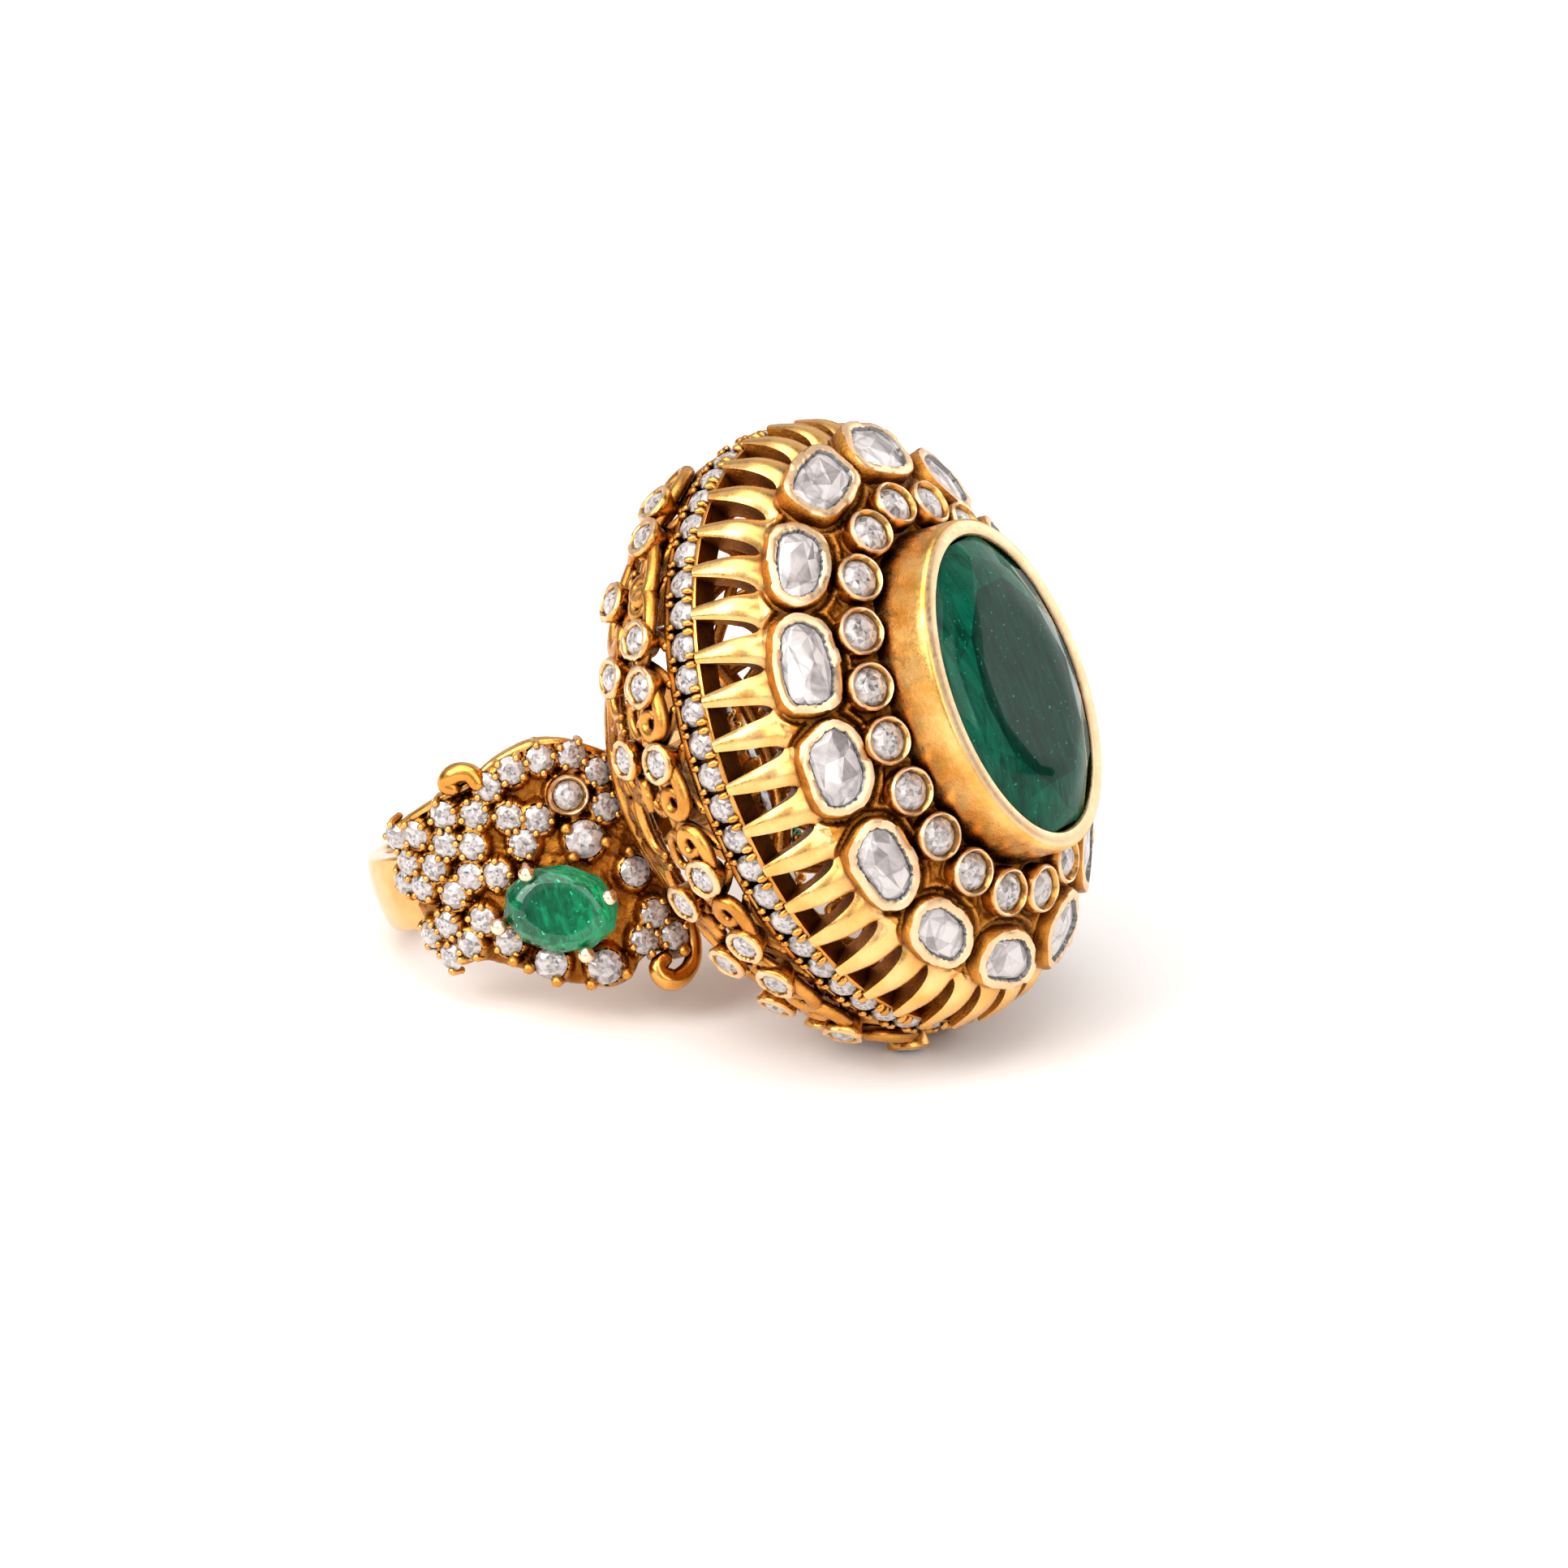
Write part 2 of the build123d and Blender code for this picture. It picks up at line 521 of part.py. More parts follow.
def make_head(band):
    """Every node of the head; gives back the outside of its basket."""
    gallery_places = [
        oval_place(UPPER_GALLERY_OVAL, UPPER_GALLERY_HEIGHT, angle, UPPER_GALLERY_LEAN)
        for angle in mirrored(UPPER_GALLERY_ANGLES)
    ] + [
        oval_place(LOWER_GALLERY_OVAL, LOWER_GALLERY_HEIGHT, angle, LOWER_GALLERY_LEAN)
        for angle in mirrored(LOWER_GALLERY_ANGLES)
    ]
    write("base_rail", base_rail(band))
    blanks = [cup_blank(place, GALLERY_CUP, GALLERY_CUP_DEPTH) for place in gallery_places]
    write("gallery_basket", gallery_basket(blanks))
    write("gallery_cups", *[
        cup(place, GALLERY_CUP, GALLERY_STONE + STONE_GAP, GALLERY_CUP_DEPTH, CUP_FLOOR)
        for place in gallery_places])
    write("gallery_diamonds", *[brilliant(place * Pos(0, 0, -STONE_SINK), GALLERY_STONE)
                                for place in gallery_places])

    girdle_places = [oval_place(RAIL_OVAL, GIRDLE_HEIGHT, angle, 0)
                     for angle in equal_angles(RAIL_OVAL, GIRDLE_COUNT, GIRDLE_PHASE)]
    write("girdle_rail", girdle_rail(girdle_places))
    write("girdle_diamonds", *[brilliant(place * Pos(0, 0, -GIRDLE_SINK), GIRDLE_STONE)
                               for place in girdle_places])

    round_places = [oval_place(ROUND_OVAL, ROUND_HEIGHT, angle, ROUND_LEAN)
                    for angle in equal_angles(ROUND_OVAL, ROUND_COUNT, 0)]
    polki_angles = equal_angles(POLKI_OVAL, len(POLKI_OUTLINES), 0.5)
    polki_places = [oval_place(POLKI_OVAL, POLKI_HEIGHT, angle, POLKI_LEAN)
                    for angle in polki_angles]
    blanks = [cup_blank(place, ROUND_CUP, ROUND_CUP_DEPTH) for place in round_places]
    blanks += [polki_blank(place, outline)
               for place, outline in zip(polki_places, POLKI_OUTLINES)]
    write("fluted_dome", fluted_dome(blanks))
    write("round_cups", *[
        cup(place, ROUND_CUP, ROUND_STONE + STONE_GAP, ROUND_CUP_DEPTH, CUP_FLOOR)
        for place in round_places])
    write("round_diamonds", *[brilliant(place * Pos(0, 0, -STONE_SINK), ROUND_STONE)
                              for place in round_places])
    foils = []
    for number, (place, outline) in enumerate(zip(polki_places, POLKI_OUTLINES), start=1):
        write(f"polki_cup_{number:02d}", polki_cup(place, outline))
        write(f"polki_diamond_{number:02d}", polki_diamond(place, outline))
        foils.append(polki_foil(place, outline))
    write("polki_foils", *foils)

    stone = centre_emerald()
    bearing = emerald_bearing(stone)
    write("centre_emerald", stone)
    write("emerald_bearing", bearing)
    write("emerald_collet", emerald_collet(stone, bearing))


def make_shoulder(name, side, band, basket_outside):
    """Every node of one shoulder."""
    plate = shoulder_plate(side, band, basket_outside)
    stone = side_emerald(side)
    plate -= stone
    write(f"{name}_shoulder_plate", plate)
    write(f"{name}_pave_diamonds", *[
        brilliant(shoulder_place(spot, side, PLATE_OUTER_RADIUS), PAVE_STONE - STONE_GAP)
        for spot in PAVE_PLACES])
    write(f"{name}_prong_diamonds", *[
        brilliant(shoulder_place(spot, side, PLATE_OUTER_RADIUS + PRONG_RISE),
                  PRONG_STONE - STONE_GAP)
        for spot in PRONG_PLACES])
    write(f"{name}_side_emerald", stone)
    write(f"{name}_emerald_claws", emerald_claws(side, stone, plate))
    write(f"{name}_accent_cup", accent_cup(side))
    write(f"{name}_accent_diamond",
          brilliant(accent_place(side) * Pos(0, 0, -STONE_SINK), ACCENT_STONE - STONE_GAP))
    write(f"{name}_shoulder_scrolls", *shoulder_scrolls(side, plate))


os.makedirs("parts", exist_ok=True)
shank = shank_band()
write("shank_band", shank)
make_head(shank)
basket_envelope = loft([Plane.XY.offset(level) * Ellipse(length, width)
                        for level, length, width in BASKET_LEVELS])
basket_envelope += oval_prism(base_rail_oval(), BASE_RAIL_FOOT, BASKET_FOOT)
make_shoulder("near", -1, shank, basket_envelope)
make_shoulder("far", 1, shank, basket_envelope)
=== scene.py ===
import json
import math
import random

import bmesh
import bpy
import numpy as np
from mathutils import Matrix, Vector


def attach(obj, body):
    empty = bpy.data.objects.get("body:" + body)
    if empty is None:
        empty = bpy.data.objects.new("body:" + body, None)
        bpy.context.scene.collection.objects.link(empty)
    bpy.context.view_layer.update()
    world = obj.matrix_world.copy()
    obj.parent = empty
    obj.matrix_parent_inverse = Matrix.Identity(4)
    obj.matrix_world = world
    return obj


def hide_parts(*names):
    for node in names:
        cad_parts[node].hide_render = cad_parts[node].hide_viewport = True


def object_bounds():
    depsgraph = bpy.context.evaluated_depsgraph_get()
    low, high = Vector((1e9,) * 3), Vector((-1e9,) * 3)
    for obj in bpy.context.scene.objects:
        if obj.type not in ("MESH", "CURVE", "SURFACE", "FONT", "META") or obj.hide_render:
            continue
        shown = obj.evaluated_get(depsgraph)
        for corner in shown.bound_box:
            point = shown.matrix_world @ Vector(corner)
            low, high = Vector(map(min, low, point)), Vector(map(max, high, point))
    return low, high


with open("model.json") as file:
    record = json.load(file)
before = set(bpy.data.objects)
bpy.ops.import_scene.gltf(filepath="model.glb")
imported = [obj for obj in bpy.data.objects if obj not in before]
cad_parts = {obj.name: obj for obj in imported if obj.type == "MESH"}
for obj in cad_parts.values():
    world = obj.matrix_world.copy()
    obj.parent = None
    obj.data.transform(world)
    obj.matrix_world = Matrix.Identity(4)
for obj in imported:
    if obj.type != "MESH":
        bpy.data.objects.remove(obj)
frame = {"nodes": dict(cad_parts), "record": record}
cad_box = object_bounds()

# Shapes are drawn upright in millimetres, as the ring is worn: the origin is the centre of the
# finger hole, +Z points to the head, X runs along the finger, -Y is the near shoulder.
# LAY_DOWN turns those axes into the row frame, in which the ring lies on its side.
MM = 0.001
BORE = frame["record"]["mounts"][0]
FINGER_RADIUS = BORE["dims"]["r_mm"]
HEAD_X = -Vector(BORE["axis"]).normalized()
HEAD_Y = Vector((0, 1, 0))
HEAD_Z = HEAD_X.cross(HEAD_Y)
LAY_DOWN = np.array([HEAD_X, HEAD_Y, HEAD_Z])


def upright_box(node):
    """Lowest and highest upright corner of a CAD node, in millimetres."""
    mesh = frame["nodes"][node].data
    points = np.zeros(len(mesh.vertices) * 3)
    mesh.vertices.foreach_get("co", points)
    points = points.reshape(-1, 3) @ LAY_DOWN.T / MM
    return points.min(0), points.max(0)


# ------------------------------------------------------------------ sizes
BAND_LOW, BAND_HIGH = upright_box("shank_band")
BAND_RADIUS = BAND_HIGH[2]
BAND_MIDDLE = (BAND_LOW[0] + BAND_HIGH[0]) / 2
BAND_WIDTH = BAND_HIGH[0] - BAND_LOW[0]
BASKET_FOOT = upright_box("gallery_basket")[0][2]
RAIL_LOW, RAIL_HIGH = upright_box("girdle_rail")
RAIL_OVAL = (RAIL_HIGH[0], RAIL_HIGH[1])
RAIL_FOOT = RAIL_LOW[2]
RAIL_TOP = RAIL_HIGH[2]
COLLET_LOW, COLLET_HIGH = upright_box("emerald_collet")
COLLET_OVAL = (COLLET_HIGH[0], COLLET_HIGH[1])
COLLET_FOOT = COLLET_LOW[2]
COLLET_TOP = COLLET_HIGH[2]
EMERALD_TOP = upright_box("centre_emerald")[1][2]
SHARP_ANGLE = 48

# Levels of the basket and of the dome are (height, half length, half width).
BOWL_LEVELS = ((9.6, 6.3, 5.0), (BASKET_FOOT, 7.2, 5.8), (13.0, 10.7, 8.4), (16.0, 13.4, 10.6),
               (18.6, 14.9, 11.8), (20.7, 15.3, 12.1))
BOWL_LENGTH, BOWL_WIDTH = [np.polyfit([level[0] for level in BOWL_LEVELS],
                                      [level[k] for level in BOWL_LEVELS], 3) for k in (1, 2)]
BOWL_RADIUS = 14.4
# Plain wires round the basket: height, radius, distance out of the bowl.
BOWL_RAILS = ((20.45, 0.36, -0.25), (14.1, 0.32, -0.15), (17.15, 0.3, -0.35), (10.5, 0.5, 0.0))
# Where the upper scrolls curl, in degrees, and the lines of two plain wires on the bowl.
CURL_ANGLES = (16, 45, 49, 72, 87, 96, 111, 135, 141, 161)
STEM_LINE = ((0.2, 17.2), (0.9, 18.2), (0.4, 19.2), (-0.6, 20.2))
LEG_LINE = ((-0.6, 14.4), (-1.0, 13.2), (-0.3, 12.0), (0.35, 10.6))
DOME_LEVELS = ((22.5, 15.95, 12.75), (23.4, 15.78, 12.58), (24.4, 15.5, 12.28),
               (25.3, 14.95, 11.7), (26.0, 14.05, 10.75), (26.55, 12.96, 9.6), (27.3, 11.6, 8.4),
               (28.05, 10.1, 7.1), (28.45, 8.6, 5.9))
FLUTE_COUNT = 40
FLUTE_PHASE = 0.24
FLUTE_OVAL = (15.25, 12.05)
FLUTE_FOOT = 22.62
ARCH_SPRING = 25.0
ARCH_TOP = 25.75
# Half width of the opening between two flutes at some heights.
ARCH_HALF_WIDTHS = ((22.6, 0.80), (ARCH_SPRING, 0.40), (25.3, 0.34), (25.5, 0.27), (25.65, 0.17),
                    (ARCH_TOP, 0.0))

# Rows of stones: the oval, height and lean of their places, their number and their radii.
ROUND_OVAL = (10.34, 7.31)
ROUND_HEIGHT = 28.97
ROUND_LEAN = 70
ROUND_COUNT = 20
ROUND_STONE = 0.93
ROUND_CUP = 1.2
POLKI_OVAL = (13.44, 10.08)
POLKI_HEIGHT = 27.32
POLKI_LEAN = 58
GIRDLE_COUNT = 53
GIRDLE_PHASE = 0.41
GIRDLE_HEIGHT = 21.52
GIRDLE_STONE = 0.74
# Rows of cups on the basket: oval, height, lean, angles from the low end of the head.
UPPER_CUPS = ((16.2, 12.9), 18.9, -10, (26, 35, 57, 66, 80, 102, 117, 127, 148, 170))
LOWER_CUPS = ((14.65, 11.85), 16.0, -20, (43, 60, 77, 108, 124, 141, 158, 173))
GALLERY_STONE = 0.72
GALLERY_CUP = 1.06

# Polki outlines in the plane of their rim: x along the oval, y towards the middle of the head.
POLKI_OUTLINES = (
    ((-1.65, -0.9), (0.3, -1.2), (2.0, -0.9), (2.2, 0.3), (1.8, 1.2), (0.1, 1.4), (-1.3, 1.1)),
    ((-1.1, -1.0), (0.6, -1.05), (1.85, -0.6), (2.1, 0.2), (1.5, 1.05), (0.2, 1.3), (-1.1, 1.05),
     (-1.55, 0.0)),
    ((-1.6, -0.85), (0.4, -1.2), (2.05, -0.9), (2.25, 0.4), (1.9, 1.25), (0.4, 1.45), (-1.4, 1.15),
     (-2.0, 0.1)),
    ((-1.1, -1.0), (1.7, -1.1), (2.15, -0.3), (2.0, 0.7), (1.1, 1.45), (-1.0, 1.4), (-1.75, 0.7)),
    ((-0.8, -1.1), (1.8, -1.0), (2.45, -0.2), (2.1, 0.75), (1.2, 1.2), (-0.9, 1.25), (-1.5, 0.4)),
    ((-0.95, -0.95), (0.45, -1.2), (1.75, -0.8), (1.85, 0.1), (1.05, 0.95), (-0.8, 0.95),
     (-1.5, 0.1)),
    ((-1.1, -1.0), (1.1, -1.1), (1.8, -0.6), (1.5, 0.4), (0.4, 1.2), (-1.4, 1.0), (-1.8, -0.2)),
    ((-1.8, -0.9), (-0.2, -1.2), (1.4, -0.8), (1.3, 1.0), (0.0, 1.3), (-1.6, 1.1)),
    ((-1.7, -0.9), (1.5, -1.1), (1.9, 0.1), (1.4, 1.1), (-1.3, 1.2), (-2.0, 0.2)),
    ((-1.4, -1.1), (1.4, -1.0), (2.0, 0.0), (1.2, 1.2), (-1.2, 1.2), (-1.9, 0.0)),
    ((-1.8, -1.0), (0.2, -1.25), (2.0, -0.8), (2.1, 0.6), (0.8, 1.35), (-1.5, 1.1)),
    ((-1.2, -1.1), (1.6, -1.0), (2.0, 0.3), (0.9, 1.3), (-1.2, 1.1), (-1.8, -0.1)),
    ((-0.7, -1.35), (1.1, -1.45), (2.1, -0.1), (1.8, 1.2), (-0.6, 1.3), (-1.4, 0.0)),
    ((-0.9, -1.5), (1.4, -1.3), (2.3, 0.3), (2.1, 1.3), (-0.4, 1.4), (-1.3, 0.8), (-1.5, -0.5)),
)

# Shoulder places are (along, across): arc length on SHOULDER_RADIUS from the side of the finger
# towards the head, and distance towards the head's upper end.
SHOULDER_RADIUS = 11.2
PLATE_INNER = 8.95
PLATE_OUTER = 10.75
UPPER_EDGE = ((-2.3, 0.9), (-1.7, 2.6), (-0.6, 3.4), (1.0, 3.8), (2.8, 4.15), (4.6, 4.4),
              (6.3, 4.95), (8.5, 5.15), (10.2, 4.75), (11.6, 3.8), (12.6, 3.0), (13.4, 2.2))
LOWER_EDGE = ((-2.3, -2.4), (-1.5, -3.6), (-0.5, -4.4), (1.4, -4.7), (3.0, -5.5), (4.6, -6.3),
              (5.6, -7.1), (6.8, -7.6), (8.0, -8.1), (9.2, -8.0), (10.3, -7.2), (11.6, -7.5),
              (12.6, -7.8), (13.4, -6.5))
PAVE_STONE = 0.73
PAVE_PLACES = (
    (5.6, 3.75), (7.1, 4.1), (8.75, 4.1), (10.4, 3.7), (11.45, 2.4), (11.1, 0.6),
    (2.7, 3.1), (4.4, 2.65), (6.1, 1.9), (7.5, 1.3), (2.15, 1.65), (3.6, 1.15), (6.3, 0.4),
    (0.6, 2.6), (-0.9, 2.75), (-0.7, 1.3), (0.95, 0.7), (2.85, -0.3), (4.35, -0.65),
    (-1.75, 0.35), (-0.35, -0.1), (1.5, -0.95), (0.35, -2.3), (-1.15, -2.6), (2.6, -2.6),
    (1.3, -3.6), (-0.2, -3.95), (3.6, -4.1), (11.5, -5.4), (10.45, -6.45), (12.1, -6.85),
)
LARGE_PLACES = ((9.4, -0.5, 0.98), (5.4, -5.8, 0.85), (8.0, -6.95, 0.9), (11.3, -3.0, 0.78))
LARGE_CLAWS = ((8.5, -1.15), (10.35, -1.05), (8.7, 0.35), (5.4, -6.75), (4.25, -5.65),
               (7.0, -7.5), (8.9, -7.65), (11.35, -1.95), (12.15, -7.7), (3.6, -5.05))
ACCENT_PLACE = (9.4, 1.9)
ACCENT_STONE = 0.74
ACCENT_CUP = 1.02
SIDE_EMERALD_PLACE = (7.0, -3.3)
SIDE_EMERALD_OVAL = (3.0, 2.28)
SIDE_EMERALD_TILT = -27
SIDE_EMERALD_HEIGHT = 11.6
CLAW_PLACES = ((6.1, -0.85), (9.45, -3.6), (7.4, -6.0), (3.8, -3.0))
HOOK_LINE = ((13.3, -6.2), (13.1, -7.6), (12.4, -8.6), (11.4, -8.95), (10.75, -8.6),
             (10.65, -8.0), (11.15, -7.75))
TONGUE_LINE = ((5.2, 4.1), (5.0, 4.65), (4.4, 4.9), (3.8, 4.8), (3.5, 4.5), (3.8, 4.25))

# The camera looks at a point on the head's axis, in degrees and millimetres.
CAMERA_AZIMUTH = 34.5
CAMERA_ELEVATION = 21.75
CAMERA_DISTANCE = 400
CAMERA_AIM = 7.96
CAMERA_RIGHT = 6.258
CAMERA_UP = 0.133
CAMERA_LENS = 178.9


# ------------------------------------------------------------------ geometry helpers
def new_object(name, data):
    """Blender object of some data, linked into the scene."""
    item = bpy.data.objects.new(name, data)
    bpy.context.scene.collection.objects.link(item)
    return item


def round_turns(count, shift=0.0):
    """Evenly spaced angles once round, in radians."""
    return 2 * math.pi * (np.arange(count) + shift) / count


def level_ring(length, width, count, height=0.0, shift=0.0):
    """Points of a level oval ring with the given half length and half width."""
    turns = round_turns(count, shift)
    return np.column_stack([length * np.cos(turns), width * np.sin(turns), [height] * count])


def on_oval(length, width, turn, height):
    """Points on an oval of the head; turn runs from its low end past its near side."""
    parts = np.broadcast_arrays(-length * np.cos(turn), -width * np.sin(turn), height)
    return np.stack(parts, -1)


class Place:
    """A plane in upright space: x and y lie in it, z stands out of it."""

    def __init__(self, origin, x_axis, z_axis):
        self.origin = np.array(origin, float)
        self.z = np.array(z_axis, float) / np.linalg.norm(z_axis)
        self.x = np.array(x_axis, float) / np.linalg.norm(x_axis)
        self.y = np.cross(self.z, self.x)

    def at(self, points):
        points = np.asarray(points, float)
        return (self.origin + points[:, :1] * self.x + points[:, 1:2] * self.y
                + points[:, 2:3] * self.z)

    def local(self, points):
        away = np.asarray(points, float) - self.origin
        return np.stack([away @ self.x, away @ self.y, away @ self.z], -1)

    def moved(self, x, y, z, spin=0.0):
        """The same plane shifted within itself and turned about its own z."""
        turn = math.radians(spin)
        origin = self.at([(x, y, z)])[0]
        return Place(origin, self.x * math.cos(turn) + self.y * math.sin(turn), self.z)


def oval_place(oval, height, angle, lean):
    """Place on an oval: x along it, z outward and raised by lean degrees, y up the slope."""
    half_length, half_width = oval
    turn = math.radians(angle)
    rise = math.radians(lean)
    outward = np.array((-math.cos(turn) / half_length, -math.sin(turn) / half_width, 0))
    outward /= np.linalg.norm(outward)
    along = (half_length * math.sin(turn), -half_width * math.cos(turn), 0)
    normal = outward * math.cos(rise) + np.array((0, 0, math.sin(rise)))
    return Place(on_oval(half_length, half_width, turn, height), along, normal)


def oval_walk(oval):
    """Angles round an oval in radians, and the length walked to each."""
    turns = np.radians(np.linspace(0, 360, 7201))
    speed = np.hypot(oval[0] * np.sin(turns), oval[1] * np.cos(turns))
    steps = (speed[1:] + speed[:-1]) / 2 * np.diff(turns)
    return turns, np.concatenate([[0], np.cumsum(steps)])


def row_places(oval, height, lean, count, phase):
    """Places that share an oval's length out equally."""
    turns, walked = oval_walk(oval)
    targets = (np.arange(count) + phase) / count * walked[-1]
    return [oval_place(oval, height, angle, lean)
            for angle in np.degrees(np.interp(targets, walked, turns))]


def evenly(points, count, endpoint=True):
    """Points at equal steps along the line through points."""
    lengths = np.linalg.norm(np.diff(points, axis=0), axis=1)
    walked = np.concatenate([[0], np.cumsum(lengths)])
    steps = np.linspace(0, walked[-1], count, endpoint=endpoint)
    return np.stack([np.interp(steps, walked, column) for column in points.T], -1)


def smooth_line(points, count):
    """Catmull-Rom curve through points, sampled evenly."""
    points = np.asarray(points, float)
    padded = np.vstack([2 * points[0] - points[1], points, 2 * points[-1] - points[-2]])
    samples = []
    for value in np.linspace(0, len(points) - 1, count):
        index = min(int(value), len(points) - 2)
        t = value - index
        a, b, c, d = padded[index:index + 4]
        samples.append(0.5 * (2 * b + (c - a) * t + (2 * a - 5 * b + 4 * c - d) * t * t
                              + (3 * b - a - 3 * c + d) * t ** 3))
    return evenly(np.array(samples), count)


def rounded_outline(corners, count, passes=1):
    """Closed outline with its corners cut round, sampled evenly, running anticlockwise."""
    points = np.asarray(corners, float)
    for _ in range(passes):
        ahead = np.roll(points, -1, axis=0)
        pairs = (points * 0.82 + ahead * 0.18, points * 0.18 + ahead * 0.82)
        points = np.stack(pairs, 1).reshape(-1, 2)
    return evenly(np.vstack([points, points[:1]]), count, endpoint=False)


def circle(radius, count=40):
    """Closed round outline."""
    return level_ring(radius, radius, count)[:, :2]


def outline_normals(outline):
    """Unit normals that point out of an anticlockwise closed outline."""
    along = np.roll(outline, -1, axis=0) - np.roll(outline, 1, axis=0)
    normals = np.stack([along[:, 1], -along[:, 0]], -1)
    return normals / np.linalg.norm(normals, axis=1)[:, None]


def outline_distance(outline, points):
    """Distance of each point from a closed outline, negative inside it."""
    start = outline
    step = np.roll(outline, -1, axis=0) - outline
    away = points[:, None, :] - start[None]
    share = np.clip((away * step).sum(-1) / (step ** 2).sum(-1), 0, 1)
    distance = np.linalg.norm(away - share[..., None] * step, axis=-1).min(1)
    cross = ((start[None, :, 1] > points[:, None, 1])
             != (np.roll(start[:, 1], -1)[None] > points[:, None, 1]))
    slope = np.where(step[:, 1] == 0, 1e-9, step[:, 1])
    at_x = start[None, :, 0] + step[None, :, 0] * (points[:, None, 1] - start[None, :, 1]) / slope
    inside = (cross & (points[:, None, 0] < at_x)).sum(1) % 2 == 1
    return np.where(inside, -distance, distance)


def ripple(points, scale, seed=0):
    """Smooth repeatable unevenness between about -1 and 1."""
    points = np.asarray(points, float) * scale + seed * 7.31
    x, y, z = points[..., 0], points[..., 1], points[..., 2]
    return (np.sin(1.7 * x + 2.3 * np.sin(0.9 * y + 1.3 * z))
            + np.sin(2.1 * y + 1.9 * np.sin(1.1 * z - 0.7 * x))
            + np.sin(1.9 * z + 2.1 * np.sin(0.8 * x + 1.2 * y))) / 3


class Shape:
    """Points and faces of one piece, with a paint number, a tone and smoothness per face."""

    def __init__(self):
        self.points = []
        self.faces = []
        self.paints = []
        self.tones = []
        self.smooth = []
        self.count = 0

    def add(self, points, faces, paint=0, smooth=True, tones=0.5):
        """Take in points and faces; paint, smooth and tones hold for all faces or list each."""
        for values, value in ((self.paints, paint), (self.smooth, smooth), (self.tones, tones)):
            values += np.broadcast_to(value, (len(faces),)).tolist()
        self.faces += [[self.count + index for index in face] for face in faces]
        self.points.append(np.asarray(points, float))
        self.count += len(points)


def make_piece(name, shape, materials, slot, *nodes):
    """Turn a shape into a Blender object in the row frame that stands for the CAD nodes."""
    mesh = bpy.data.meshes.new(name)
    points = np.concatenate(shape.points) @ LAY_DOWN * MM
    mesh.from_pydata(points.tolist(), [], shape.faces)
    for material in materials:
        mesh.materials.append(material)
    mesh.polygons.foreach_set("material_index", shape.paints)
    mesh.polygons.foreach_set("use_smooth", shape.smooth)
    tone = mesh.attributes.new("tone", "FLOAT", "FACE")
    tone.data.foreach_set("value", np.array(shape.tones, np.float32))
    work = bmesh.new()
    work.from_mesh(mesh)
    bmesh.ops.recalc_face_normals(work, faces=work.faces)
    work.to_mesh(mesh)
    work.free()
    mesh.set_sharp_from_angle(angle=math.radians(SHARP_ANGLE))
    piece = new_object(name, mesh)
    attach(piece, "root")
    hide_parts(*nodes)


def grid_faces(rows, columns, closed=False, closed_rows=False):
    """Quads of a grid of points; closed joins the last column to the first."""
    faces = []
    for row in range(rows if closed_rows else rows - 1):
        low, high = row * columns, (row + 1) % rows * columns
        for column in range(columns if closed else columns - 1):
            ahead = (column + 1) % columns
            faces.append((low + column, low + ahead, high + ahead, high + column))
    return faces


def capped_faces(rings, sides):
    """Faces of a stack of rings with a pole point before the first and after the last."""
    last = 1 + rings * sides
    faces = [[1 + index for index in face] for face in grid_faces(rings, sides, closed=True)]
    for pole, low in ((0, 1), (last, last - sides)):
        faces += [(pole, low + side, low + (side + 1) % sides) for side in range(sides)]
    return faces


def add_ball(shape, centre, radius, paint=0, normal=(0, 0, 1), sides=8, rings=5):
    """Small round bead with its poles along a normal."""
    helper = (1.0, 0, 0) if abs(normal[0]) < 0.8 else (0, 1.0, 0)
    place = Place(centre, np.cross(normal, helper), normal)
    tilts = math.pi * np.arange(1, rings) / rings - math.pi / 2
    levels = [level_ring(radius * math.cos(tilt), radius * math.cos(tilt), sides,
                         radius * math.sin(tilt)) for tilt in tilts]
    points = np.vstack([(0, 0, -radius), *levels, (0, 0, radius)])
    shape.add(place.at(points), capped_faces(rings - 1, sides), paint)


def add_tube(shape, path, radii, normals, flat=1.0, paint=0, sides=8, ball_ends=True):
    """Round or flattened wire along a path; flat is its thickness against its width."""
    path = np.asarray(path, float)
    radii = np.broadcast_to(radii, (len(path),))
    normals = np.broadcast_to(normals, path.shape)
    along = np.gradient(path, axis=0)
    along /= np.linalg.norm(along, axis=1)[:, None]
    across = np.cross(along, normals)
    across /= np.linalg.norm(across, axis=1)[:, None]
    upward = flat * np.cross(across, along)
    turns = round_turns(sides)[:, None]
    rings = [point + radius * (np.cos(turns) * wide + np.sin(turns) * high)
             for point, radius, wide, high in zip(path, radii, across, upward)]
    points = np.concatenate([path[:1], *rings, path[-1:]])
    shape.add(points, capped_faces(len(path), sides), paint)
    if ball_ends:
        for end in (0, -1):
            add_ball(shape, path[end], radii[end] * 1.02, paint, normals[end])


# ------------------------------------------------------------------ gems
def painted_reflection_tones(count, seed):
    """Painted reflections: uneven brightness of facets, mostly light with some dark ones."""
    chance = random.Random(seed)
    tones = []
    for _ in range(count):
        dark = chance.random() < 0.2
        tones.append(0.1 + 0.25 * chance.random() if dark else 0.4 + 0.6 * chance.random())
    return tones


